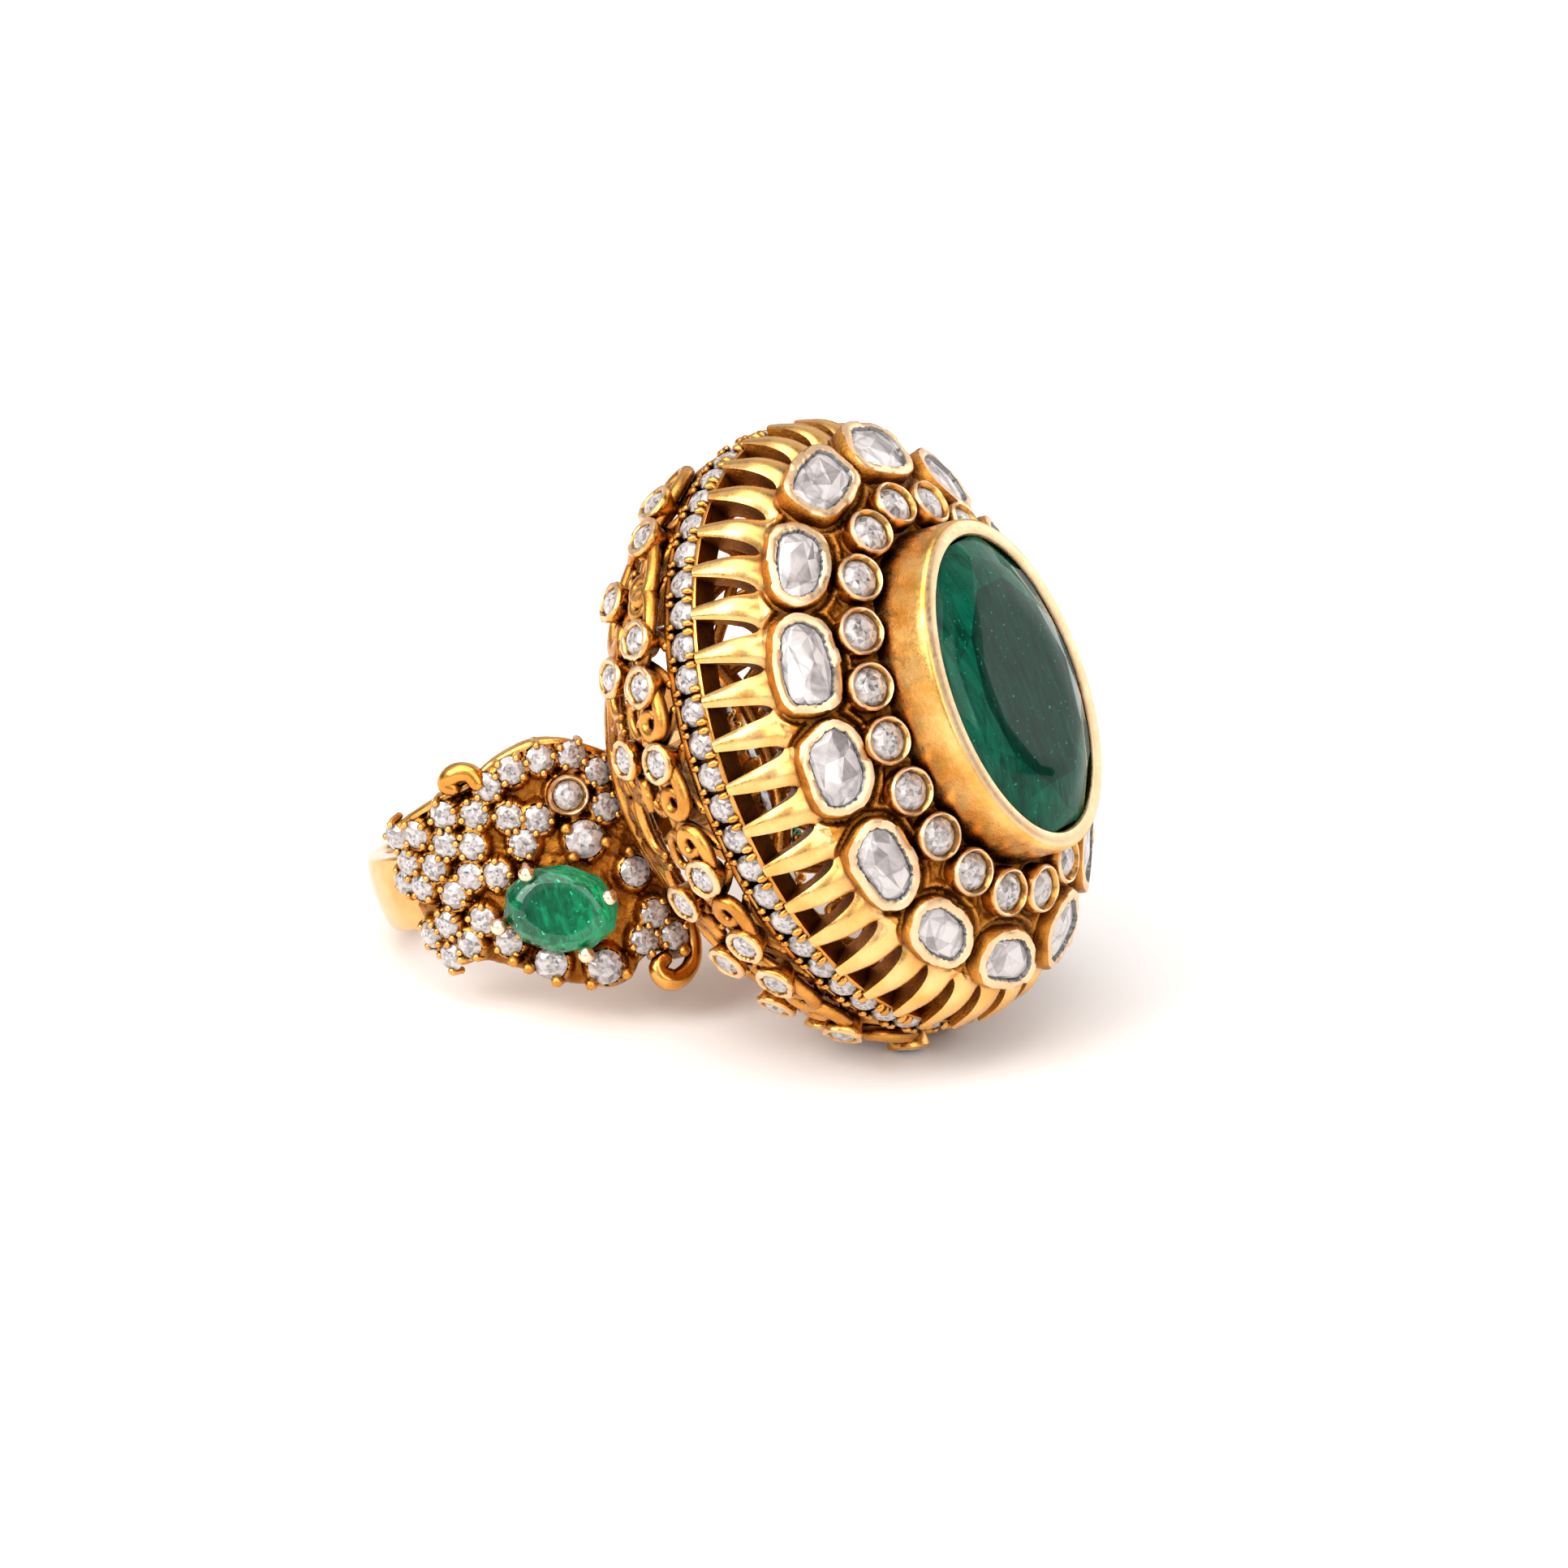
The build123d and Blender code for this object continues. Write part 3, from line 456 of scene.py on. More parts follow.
def add_brilliant(shape, place, radius, seed):
    """Round brilliant whose facets, the flat table pieces too, carry uneven tones as painted
    reflections; its girdle is in the plane of the place.
    """
    points = [(0, 0, 0.31)]
    for count, reach, height, shift in ((8, 0.3, 0.31, 0.5), (8, 0.57, 0.31, 0.0),
                                        (8, 0.78, 0.17, 0.5), (16, 1.0, 0.0, 0.0),
                                        (16, 1.0, -0.07, 0.0)):
        points.extend(level_ring(reach, reach, count, height, shift))
    points.append((0, 0, -0.8))
    inner, table, star, girdle, lower, culet = 1, 9, 17, 25, 41, 57
    faces = []
    for side in range(8):
        ahead, behind, corner = (side + 1) % 8, (side - 1) % 8, girdle + 2 * side
        faces += [(0, inner + side, inner + ahead),
                  (inner + side, table + side, table + ahead),
                  (inner + side, table + ahead, inner + ahead),
                  (table + side, star + side, table + ahead),
                  (table + side, star + behind, corner),
                  (table + side, corner, star + side),
                  (star + side, corner, corner + 1),
                  (star + side, corner + 1, girdle + (2 * side + 2) % 16)]
    for side in range(16):
        ahead = (side + 1) % 16
        faces.append((girdle + side, lower + side, lower + ahead, girdle + ahead))
        faces.append((lower + side, culet, lower + ahead))
    spin = random.Random(seed * 13 + 5).random() * 45
    points = place.moved(0, 0, 0, spin).at(radius * np.array(points))
    shape.add(points, faces, smooth=False, tones=painted_reflection_tones(len(faces), seed))


def oval_gem(oval, crown, pavilion, table, seed, sides=10):
    """Oval gem with a table, star and kite facets and a stepped pavilion.

    The table has one even tone and the facets round it are painted lighter, as painted reflections.
    """
    length, width = oval
    rings = ((0.34 * table, crown, 0.5), (0.72 * table, crown, 0.0), (table, crown, 0.5),
             ((1 + table) / 2, crown * 0.55, 0.0), (1.0, 0.0, 0.5), (1.0, -0.12, 0.5),
             (0.62, -pavilion * 0.6, 0.0), (0.25, -pavilion, 0.5))
    levels = [level_ring(length * share, width * share, sides, height, shift)
              for share, height, shift in rings]
    points = np.vstack([(0, 0, crown), *levels, (0, 0, -pavilion)])
    faces = [(0, 1 + side, 1 + (side + 1) % sides) for side in range(sides)]
    for ring in range(len(rings) - 1):
        low = 1 + ring * sides
        high = low + sides
        shift, next_shift = rings[ring][2], rings[ring + 1][2]
        for side in range(sides):
            ahead, behind = (side + 1) % sides, (side - 1) % sides
            if next_shift == shift:
                faces.append((low + side, high + side, high + ahead, low + ahead))
            elif next_shift > shift:
                faces.append((low + side, high + side, low + ahead))
                faces.append((low + side, high + behind, high + side))
            else:
                faces.append((low + side, high + side, high + ahead))
                faces.append((low + side, high + ahead, low + ahead))
    last = len(points) - 1
    faces += [(last - sides + side, last, last - sides + (side + 1) % sides)
              for side in range(sides)]
    flat = 5 * sides
    tones = [0.4] * flat + [0.55 + 0.3 * tone for tone in painted_reflection_tones(len(faces) - flat, seed)]
    return points, faces, tones


def add_polki(shape, place, outline, seed):
    """Flat uncut diamond: a convex cap of a few uneven facets over its outline, their tones painted
    reflections and shade.
    """
    chance = random.Random(seed)
    base = rounded_outline(outline, 36)
    centre = base.mean(0)
    base = base - outline_normals(base) * 0.05
    cloud = [(x, y, -0.5) for x, y in base]
    cloud += [(x, y, -0.06 + chance.uniform(-0.02, 0.02)) for x, y in base]
    for share, step, height in ((0.8, 6, 0.06), (0.42, 12, 0.12)):
        for corner in range(0, 36, step):
            x, y = centre + (base[corner] - centre) * (share + chance.uniform(-0.07, 0.07))
            cloud.append((x, y, height + chance.uniform(-0.02, 0.02)))
    work = bmesh.new()
    for point in cloud:
        work.verts.new(point)
    hull = bmesh.ops.convex_hull(work, input=work.verts)
    loose = [item for item in hull["geom_interior"] if isinstance(item, bmesh.types.BMVert)]
    bmesh.ops.delete(work, geom=loose, context="VERTS")
    work.verts.index_update()
    points = [tuple(vertex.co) for vertex in work.verts]
    faces = [[vertex.index for vertex in face.verts] for face in work.faces]
    work.free()
    shape.add(place.at(points), faces, smooth=False, tones=painted_reflection_tones(len(faces), seed + 3))


# ------------------------------------------------------------------ cups
def add_cup(shape, place, outline, wall, depth, seed, flare=0.05, sunk=False, lip_paint=0,
            taper=0.0):
    """Rub-over cup round an outline: wall, hand-cut rim and an uneven inner lip.

    A sunk cup has a narrow crest and slopes down to its stone.
    """
    chance = random.Random(seed)
    count = len(outline)
    cuts = max(10, count // 5)
    spans = (np.arange(count) / count * cuts).astype(int)
    cut = np.array([chance.uniform(-1, 1) for _ in range(cuts)])[spans]
    slope = np.array([chance.uniform(-1, 1) for _ in range(cuts)])[spans]
    ragged = np.array([chance.uniform(-1, 1) for _ in range(count)])
    paints = (0, 0, 0, 1, 1, lip_paint, lip_paint)
    rings = (
        (wall + flare - taper, -depth),
        (wall + flare - taper * 0.25, -0.35),
        (wall + 0.03 + 0.04 * cut, -0.12),
        (wall - 0.03 + 0.06 * cut, 0.05 * slope),
        (wall * 0.5 + 0.03 * slope, 0.06 + 0.04 * cut),
        (0.05 + 0.05 * ragged, 0.05 - 0.02 * slope),
        (-0.02 + 0.07 * ragged, -0.03),
        (-0.08 + 0.05 * ragged, -0.3),
    )
    if sunk:
        paints = (0, 0, 1, 1, 0, 0, 0)
        rings = (
            (wall + flare, -depth),
            (wall + flare + 0.04, -0.45),
            (wall + 0.03 + 0.02 * cut, -0.1),
            (wall - 0.05 + 0.02 * cut, 0.03 + 0.02 * slope),
            (wall - 0.13 + 0.02 * slope, 0.02 * cut),
            (0.04 + 0.02 * ragged, -0.2),
            (0.02 * ragged, -0.27),
            (-0.03 + 0.02 * ragged, -0.5),
        )
    normals = outline_normals(outline)
    points = []
    for ring in rings:
        out, height = np.broadcast_arrays(*ring, ragged)[:2]
        points.append(np.column_stack([outline + normals * out[:, None], height]))
    points = np.concatenate(points)
    faces = grid_faces(len(rings), count, closed=True)
    faces += [range(len(points) - count, len(points)), range(count)]
    smooth = [ring not in (2, 3, 4) for ring in range(len(paints))]
    shape.add(place.at(points), faces, [*np.repeat(paints, count), 0, 0],
              [*np.repeat(smooth, count), False, False])


def build_cup_set(names, nodes, places, stone, cup, depth, sink, seeds, **style):
    """Rub-over cups at places, one piece, and their round stones, another."""
    cups, stones = Shape(), Shape()
    for index, place in enumerate(places):
        add_cup(cups, place, circle(stone), cup - stone, depth, seeds[0] + index, **style)
        add_brilliant(stones, place.moved(0, 0, -sink), stone + 0.02, seeds[1] + index)
    make_piece(names[0], cups, [CUP_GOLD, RIM_GOLD], "cup_gold", nodes[0])
    make_piece(names[1], stones, [BRILLIANT], "brilliant_diamond", nodes[1])


# ------------------------------------------------------------------ materials
# Painted shade: the brown that the gold colours turn to in their recesses.
PAINTED_SHADE_BROWN = (0.085, 0.024, 0.003)


class Nodes:
    """Helpers that add procedural nodes to a node tree; sizes are in millimetres."""

    def __init__(self, tree):
        self.tree = tree

    def fill(self, node, inputs):
        """Set inputs of a node by name or number, or link them to another node's output."""
        for name, value in inputs:
            socket = node.inputs[name]
            if isinstance(value, bpy.types.NodeSocket):
                self.tree.links.new(value, socket)
            else:
                socket.default_value = value

    def node(self, kind, *values, **named):
        """New node: values go to its inputs in order, a small first letter names a setting."""
        node = self.tree.nodes.new("ShaderNode" + kind)
        inputs = [*enumerate(values)]
        for name, value in named.items():
            if name[0].islower():
                setattr(node, name, value)
            else:
                inputs.append((name.replace("_", " "), value))
        self.fill(node, inputs)
        return node

    def ramp(self, value, *stops):
        """Colour that runs through (place, colour) stops."""
        node = self.node("ValToRGB", Fac=value)
        elements = node.color_ramp.elements
        while len(elements) < len(stops):
            elements.new(0.5)
        for element, (place, color) in zip(elements, stops):
            element.position = place
            element.color = (*color, 1)
        return node.outputs["Color"]

    def spread(self, value, low, high, start=0.0, end=1.0):
        """Value carried from the range start to end over to the range low to high."""
        return self.node("MapRange", Value=value, From_Min=start, From_Max=end, To_Min=low,
                         To_Max=high).outputs["Result"]


class Paint(Nodes):
    """A Principled material with small helpers for its procedural nodes."""

    def __init__(self, name):
        self.material = bpy.data.materials.new(name)
        self.material.use_nodes = True
        super().__init__(self.material.node_tree)
        self.shader = self.tree.nodes["Principled BSDF"]
        self.where = self.node("TexCoord").outputs["Object"]

    def noise(self, size, detail, roughness=0.55, stretch=None, distortion=0.0):
        """Noise whose grain is about size; stretch is a rotation and a scale."""
        where = self.where
        if stretch:
            where = self.node("Mapping", Vector=where, Rotation=stretch[0],
                              Scale=stretch[1]).outputs[0]
        return self.node("TexNoise", Vector=where, Scale=1 / (size * MM), Detail=detail,
                         Roughness=roughness, Distortion=distortion).outputs["Fac"]

    def cracks(self, size, width):
        """Near 0 along crooked lines that part cells of a size, and 1 between them."""
        bend = self.node("TexNoise", Vector=self.where, Scale=1.5 / (size * MM)).outputs["Color"]
        bent = self.node("VectorMath", bend, (0.8 * size * MM,) * 3, self.where,
                         operation="MULTIPLY_ADD").outputs[0]
        cells = self.node("TexVoronoi", feature="DISTANCE_TO_EDGE", Vector=bent,
                          Scale=1 / (size * MM))
        return self.spread(cells.outputs["Distance"], 0.0, 1.0, 0.0, width)

    def tone(self):
        """Tone stored on each face."""
        return self.node("Attribute", attribute_name="tone").outputs["Fac"]

    def recess(self, distance):
        """Ambient occlusion, near 0 in recesses and 1 in the open; the gold uses it for painted
        shade.
        """
        return self.node("AmbientOcclusion", samples=6, Distance=distance * MM).outputs["AO"]

    def mix(self, share, first, second):
        """Colour between two colours."""
        first, second = [color if isinstance(color, bpy.types.NodeSocket) else (*color, 1)
                         for color in (first, second)]
        return self.node("Mix", data_type="RGBA", Factor=share, A=first,
                         B=second).outputs["Result"]

    def bump(self, height, depth):
        """Unevenness of a depth on the shader's normal."""
        node = self.node("Bump", Height=height, Distance=depth * MM, Strength=1.0)
        self.set(Normal=node.outputs["Normal"])

    def set(self, **inputs):
        """Set or link the shader's own inputs."""
        self.fill(self.shader, [(name.replace("_", " "), inputs[name]) for name in inputs])


def gold(name, bright, deep, rough, grain, recess):
    """Polished gold with painted shade: its colour turns brown in recesses found by ambient
    occlusion within recess millimetres; grain is the depth of its cast texture.
    """
    paint = Paint(name)
    patches = paint.noise(1.6, 3)
    plain = paint.mix(paint.spread(patches, 0.0, 1.0, 0.35, 0.65), bright, deep)
    unshaded = paint.spread(paint.recess(recess), 0.0, 1.0, 0.3, 0.9)
    fine = paint.noise(0.2, 5, 0.65)
    # Painted shade: the base colour goes to brown where ambient occlusion finds a recess.
    paint.set(Base_Color=paint.mix(unshaded, PAINTED_SHADE_BROWN, plain), Metallic=1.0,
              Roughness=paint.spread(fine, rough * 0.7, rough * 1.5, 0.3, 0.7))
    paint.bump(fine, grain)
    return paint.material


def stone(name, darkest, middle, lightest, speckle, rough=0.06, crease=0.0):
    """Faceted pale stone: each facet has its own tone, a painted reflection, a mottled inside, on
    the small brilliants a painted sparkle, and some creases.
    """
    paint = Paint(name)
    mottle = paint.noise(speckle, 3, 0.6, distortion=1.5)
    blended = paint.mix(0.45, paint.tone(), mottle)
    color = paint.ramp(blended, (0.22, darkest), (0.42, middle), (0.72, lightest))
    if crease:
        lines = paint.cracks(crease, 0.05)
        color = paint.mix(paint.spread(lines, 0.45, 1.0), darkest, color)
    paint.set(Base_Color=color, Roughness=rough, IOR=2.2)
    return paint.material


def emerald(name, dark, middle, light, tilt, reach, shine):
    """Green gem: facet tones as painted reflections, veils of inclusions, small bright flecks and a
    grey top tone for a painted reflection.
    """
    paint = Paint(name)
    veil = paint.noise(reach, 5, 0.6, stretch=(tilt, (1.0, 3.2, 0.7)), distortion=0.8)
    blended = paint.mix(0.55, paint.tone(), veil)
    # The greyish top stop is a painted reflection; the raised crown tones of the centre emerald
    # reach it.
    body = paint.ramp(blended, (0.3, dark), (0.5, middle), (0.72, light), (0.9, (0.17, 0.23, 0.22)))
    flecks = paint.spread(paint.noise(0.22, 2, 0.5), 0.0, 0.8, 0.68, 0.76)
    color = paint.mix(flecks, body, tuple(min(1.0, 3.0 * part + 0.02) for part in light))
    paint.set(Base_Color=color, Roughness=0.05, IOR=1.6, Specular_IOR_Level=shine)
    return paint.material


YELLOW = gold("yellow_gold", (0.80, 0.41, 0.10), (0.62, 0.27, 0.045), 0.19, 0.010, 0.9)
BASKET_GOLD = gold("basket_gold", (0.80, 0.39, 0.085), (0.56, 0.22, 0.035), 0.22, 0.018, 1.2)
DOME_GOLD = gold("dome_gold", (0.70, 0.31, 0.05), (0.44, 0.16, 0.02), 0.30, 0.08, 1.0)
FLUTE_GOLD = gold("flute_gold", (0.93, 0.58, 0.23), (0.82, 0.43, 0.12), 0.23, 0.006, 1.0)
CUP_GOLD = gold("cup_gold", (0.86, 0.48, 0.14), (0.70, 0.33, 0.07), 0.2, 0.010, 0.7)
RIM_GOLD = gold("rim_gold", (0.89, 0.63, 0.39), (0.80, 0.52, 0.29), 0.34, 0.004, 0.15)
BAND_GOLD = gold("band_gold", (0.78, 0.48, 0.18), (0.69, 0.37, 0.11), 0.16, 0.002, 0.4)
COLLET_GOLD = gold("collet_gold", (0.88, 0.53, 0.18), (0.70, 0.34, 0.07), 0.24, 0.013, 2.2)
ROSE_GOLD = gold("rose_gold", (0.98, 0.75, 0.57), (0.93, 0.66, 0.46), 0.2, 0.002, 0.2)
# Painted shade: dark brown gold for the inside faces of the dome and of the girdle rail.
SHADED_INNER_GOLD = gold("painted_shade_inner_gold", (0.40, 0.16, 0.025), (0.18, 0.06, 0.007), 0.34, 0.05, 1.3)
PLATE_GOLD = gold("plate_gold", (0.76, 0.36, 0.07), (0.50, 0.20, 0.03), 0.24, 0.03, 0.9)
GROUND_GOLD = gold("ground_gold", (0.62, 0.24, 0.03), (0.26, 0.08, 0.008), 0.2, 0.06, 1.1)
BRILLIANT = stone("brilliant_diamond", (0.06, 0.05, 0.048), (0.21, 0.182, 0.178),
                  (0.50, 0.455, 0.445), 0.30)
POLKI = stone("polki_diamond", (0.13, 0.112, 0.11), (0.34, 0.30, 0.29), (0.58, 0.53, 0.52), 1.1,
              0.08, 2.6)
# Dark jagged line along the inner lip of each polki cup, between rim and stone.
DARK_LIP_LINE = stone("dark_lip", (0.006, 0.005, 0.005), (0.02, 0.016, 0.015), (0.16, 0.15, 0.145), 0.09,
              0.3)
FOIL = stone("silver_foil", (0.30, 0.29, 0.28), (0.60, 0.58, 0.56), (0.85, 0.83, 0.80), 0.4, 0.2)
EMERALD = emerald("centre_emerald", (0.001, 0.010, 0.006), (0.001, 0.030, 0.018),
                  (0.002, 0.095, 0.052), (0.0, 0.5, 0.0), 1.3, 0.12)
SIDE_EMERALD = emerald("side_emerald", (0.001, 0.020, 0.010), (0.001, 0.095, 0.040),
                       (0.004, 0.36, 0.14), (0.4, 0.0, 0.0), 0.7, 0.4)


# ------------------------------------------------------------------ band
def build_band():
    """D-section band, a little wider and thicker towards the shoulders."""
    shape = Shape()
    steps = 240
    half = BAND_WIDTH / 2
    crown = BAND_RADIUS - FINGER_RADIUS
    edge = crown * 0.72
    arc = np.linspace(0, math.pi, 15)
    across, out = np.array([
        (-half + 0.15, 0.0), (-half * 0.5, 0.0), (half * 0.5, 0.0), (half - 0.15, 0.0),
        (half, 0.16), (half, edge - 0.12),
        *zip(half * np.cos(arc) * 0.985, edge + (crown - edge) * np.sin(arc)),
        (-half, edge - 0.12), (-half, 0.16)]).T
    turns = round_turns(steps)[:, None]
    swell = 1 + 0.12 * np.maximum(0.0, np.sin(turns))
    radius = FINGER_RADIUS + out * swell
    points = np.stack([BAND_MIDDLE + across * swell, -radius * np.cos(turns),
                       radius * np.sin(turns)], -1).reshape(-1, 3)
    shape.add(points, grid_faces(steps, len(out), closed=True, closed_rows=True))
    make_piece("band", shape, [BAND_GOLD], "band_gold", "shank_band")


# ------------------------------------------------------------------ basket
def bowl_point(angle, height, out):
    """Point and outward normal on the bowl at an angle in degrees and a height."""
    turn = np.radians(angle)

    def raw(bend, level):
        return on_oval(np.polyval(BOWL_LENGTH, level), np.polyval(BOWL_WIDTH, level), bend, level)

    step = 1e-3
    along = raw(turn + step, height) - raw(turn - step, height)
    upward = raw(turn, height + step) - raw(turn, height - step)
    normal = np.cross(along, upward)
    normal /= np.linalg.norm(normal, axis=-1)[..., None]
    return raw(turn, height) + normal * out, normal


def add_bowl_wire(shape, side, angle, line, radii, out, flat=0.95, sides=8):
    """Wire on the bowl: line holds (millimetres along the oval, height) from an angle.

    The radii are those at its start, its middle and its end.
    """
    line = np.asarray(line, float)
    length, width = np.polyval(BOWL_LENGTH, line[:, 1]), np.polyval(BOWL_WIDTH, line[:, 1])
    turn = math.radians(angle)
    per_radian = np.hypot(length * math.sin(turn), width * math.cos(turn))
    angles = angle + np.degrees(line[:, 0] / per_radian)
    points, normals = bowl_point(angles if side > 0 else 360 - angles, line[:, 1], out)
    start, middle, end = radii
    share = np.linspace(0, 1, len(line))
    swell = np.clip(np.sin(share * math.pi), 0, 1) ** 0.8
    radii = start * (1 - share) + end * share + (middle - (start + end) / 2) * swell
    add_tube(shape, points, radii, normals, flat, sides=sides)


def curl(centre, radius, turns, end, rise, flip=1, drop=1, count=34):
    """Scroll: a spiral round a centre that sweeps over in a crest and comes down to an end."""
    spin = np.linspace(turns * 2 * math.pi, 0, int(count * 0.55)) + math.pi
    sizes = np.linspace(0.5, 1.0, len(spin)) * radius
    spiral = np.stack([sizes * np.cos(spin), sizes * np.sin(spin)], -1)
    far = np.array(((end[0] - centre[0]) * flip, (end[1] - centre[1]) * drop))
    start = np.array((-radius, 0.0))
    share = np.linspace(0, 1, int(count * 0.5) + 1)[1:, None]
    sweep = ((1 - share) ** 3 * start + 3 * share * (1 - share) ** 2 * (start + (0, rise))
             + 3 * share ** 2 * (1 - share) * (far + (0.1, rise * 0.9)) + share ** 3 * far)
    return np.vstack([spiral, sweep]) * (flip, drop) + centre


def build_basket():
    """Openwork bowl of scrolls in three tiers between two plain rails."""
    shape = Shape()
    lower = LOWER_CUPS[3]
    for side in (1, -1):
        for curl_angle, cup_angle in zip(CURL_ANGLES, UPPER_CUPS[3]):
            reach = math.radians(cup_angle - curl_angle) * BOWL_RADIUS
            flip = 1 if reach > 0 else -1
            line = curl((0, 19.1), 0.74, 0.62, (reach + flip * 1.25, 18.3), 1.35, flip)
            add_bowl_wire(shape, side, curl_angle, line, (0.3, 0.42, 0.3), 0.45, sides=12)
            hook = curl((0, 17.4), 0.55, 0.6, (reach * 0.8, 17.0), 0.9, flip, -1)
            add_bowl_wire(shape, side, curl_angle, hook, (0.2, 0.3, 0.22), 0.05)
        for index, angle in enumerate((2, 14, 28, *lower[:3], 92, *lower[3:], 180)):
            flip = 1 if index % 2 else -1
            line = curl((flip * 1.45, 16.1), 0.58, 0.65, (flip * -1.5, 15.6), 1.8, -flip, -1)
            add_bowl_wire(shape, side, angle, line, (0.26, 0.38, 0.24), 0.2)
            for shift in (-1.0, 0.9):
                stem = smooth_line(STEM_LINE, 18) * (flip, 1) + (shift, 0)
                add_bowl_wire(shape, side, angle, stem, (0.3, 0.3, 0.3), -0.15, 0.9)
            foot = curl((flip * 0.55, 13.0), 0.52, 0.65, (flip * -0.8, 11.0), 1.2, -flip)
            add_bowl_wire(shape, side, angle, foot, (0.24, 0.38, 0.26), 0.0)
            leg = smooth_line(LEG_LINE, 18) * (flip, 1)
            add_bowl_wire(shape, side, angle, leg, (0.34, 0.34, 0.34), -0.1, 0.9)
    around = np.linspace(0, 360, 241)
    for height, radius, out in BOWL_RAILS:
        points, normals = bowl_point(around, np.full(len(around), height), out)
        add_tube(shape, points, radius, normals, 0.9, sides=10, ball_ends=False)
    make_piece("scroll_basket", shape, [BASKET_GOLD], "yellow_gold", "gallery_basket", "base_rail")


def gallery_places():
    """Places of the cups on the basket, the same on both long sides of the head."""
    return [oval_place(oval, height, angle, lean)
            for oval, height, lean, angles in (UPPER_CUPS, LOWER_CUPS)
            for angle in (*angles, *[360 - angle for angle in reversed(angles)])]


# ------------------------------------------------------------------ girdle
def build_girdle():
    """Rail with one row of stones, cut-down beads between them and a thin edge each side."""
    shape, stones = Shape(), Shape()
    steps = 320
    half = (RAIL_TOP - RAIL_FOOT) / 2
    out, height = np.array((
        (-1.4, -half), (-0.2, -half), (-0.06, -half + 0.05), (-0.05, -half + 0.16),
        (-0.34, -half + 0.26), (-0.42, 0.0), (-0.34, half - 0.26), (-0.06, half - 0.16),
        (-0.04, half - 0.02), (-0.1, half + 0.1), (-0.3, half + 0.12), (-1.4, half + 0.12))).T
    turns = round_turns(steps)[:, None]
    points = on_oval(RAIL_OVAL[0] + out, RAIL_OVAL[1] + out, turns, GIRDLE_HEIGHT + height)
    faces = grid_faces(steps, len(out), closed=True, closed_rows=True)
    # The inner faces of the rail take the dark inner gold, painted shade.
    hidden = [index % len(out) >= len(out) - 2 for index in range(len(faces))]
    shape.add(points.reshape(-1, 3), faces, np.array(hidden, int))
    for index, place in enumerate(row_places(RAIL_OVAL, GIRDLE_HEIGHT, 0, GIRDLE_COUNT,
                                             GIRDLE_PHASE)):
        add_brilliant(stones, place.moved(0, 0, -0.12), GIRDLE_STONE, 100 + index)
    for place in row_places(RAIL_OVAL, GIRDLE_HEIGHT, 0, GIRDLE_COUNT, GIRDLE_PHASE + 0.5):
        for high in (1, -1):
            for side in (1, -1):
                root, tip = place.at([(side * 0.2, high * 0.8, -0.3),
                                      (side * 0.23, high * 0.46, 0.1)])
                path = smooth_line((root, (root + tip) / 2 + place.z * 0.16, tip), 5)
                add_tube(shape, path, (0.18, 0.2, 0.21, 0.2, 0.18), place.z)
    make_piece("girdle_setting", shape, [YELLOW, SHADED_INNER_GOLD], "yellow_gold", "girdle_rail")
    make_piece("girdle_stones", stones, [BRILLIANT], "brilliant_diamond", "girdle_diamonds")


# ------------------------------------------------------------------ dome
POLKI_PLACES = row_places(POLKI_OVAL, POLKI_HEIGHT, POLKI_LEAN, len(POLKI_OUTLINES), 0.5)
ROUND_PLACES = row_places(ROUND_OVAL, ROUND_HEIGHT, ROUND_LEAN, ROUND_COUNT, 0)


def dome_relief(points):
    """Height of the dome's carved relief: a moat round each cup and soft ridges between."""
    nearest = np.full(len(points), 9.0)
    for place, outline in zip(POLKI_PLACES, POLKI_OUTLINES):
        local = place.local(points)
        near = (np.abs(local[:, 0]) < 4.5) & (np.abs(local[:, 1]) < 4.0) & (local[:, 2] > -4)
        rim = rounded_outline(outline, 40, passes=2)
        nearest[near] = np.minimum(nearest[near], outline_distance(rim, local[near, :2]) - 0.6)
    small = np.full(len(points), 9.0)
    for place in ROUND_PLACES:
        local = place.local(points)
        small = np.minimum(small, np.hypot(local[:, 0], local[:, 1]) - ROUND_CUP)
    relief = 0.18 * np.clip((points[:, 2] - 26.0) / 0.8, 0, 1)
    for gap, height, middle, width in ((nearest, -0.12, 0.14, 0.11), (nearest, 0.32, 0.46, 0.2),
                                       (small, -0.10, 0.15, 0.16)):
        relief += height * np.exp(-((gap - middle) / width) ** 2)
    return relief + 0.03 * ripple(points, 2.6) + 0.035 * ripple(points, 8.0, 2)


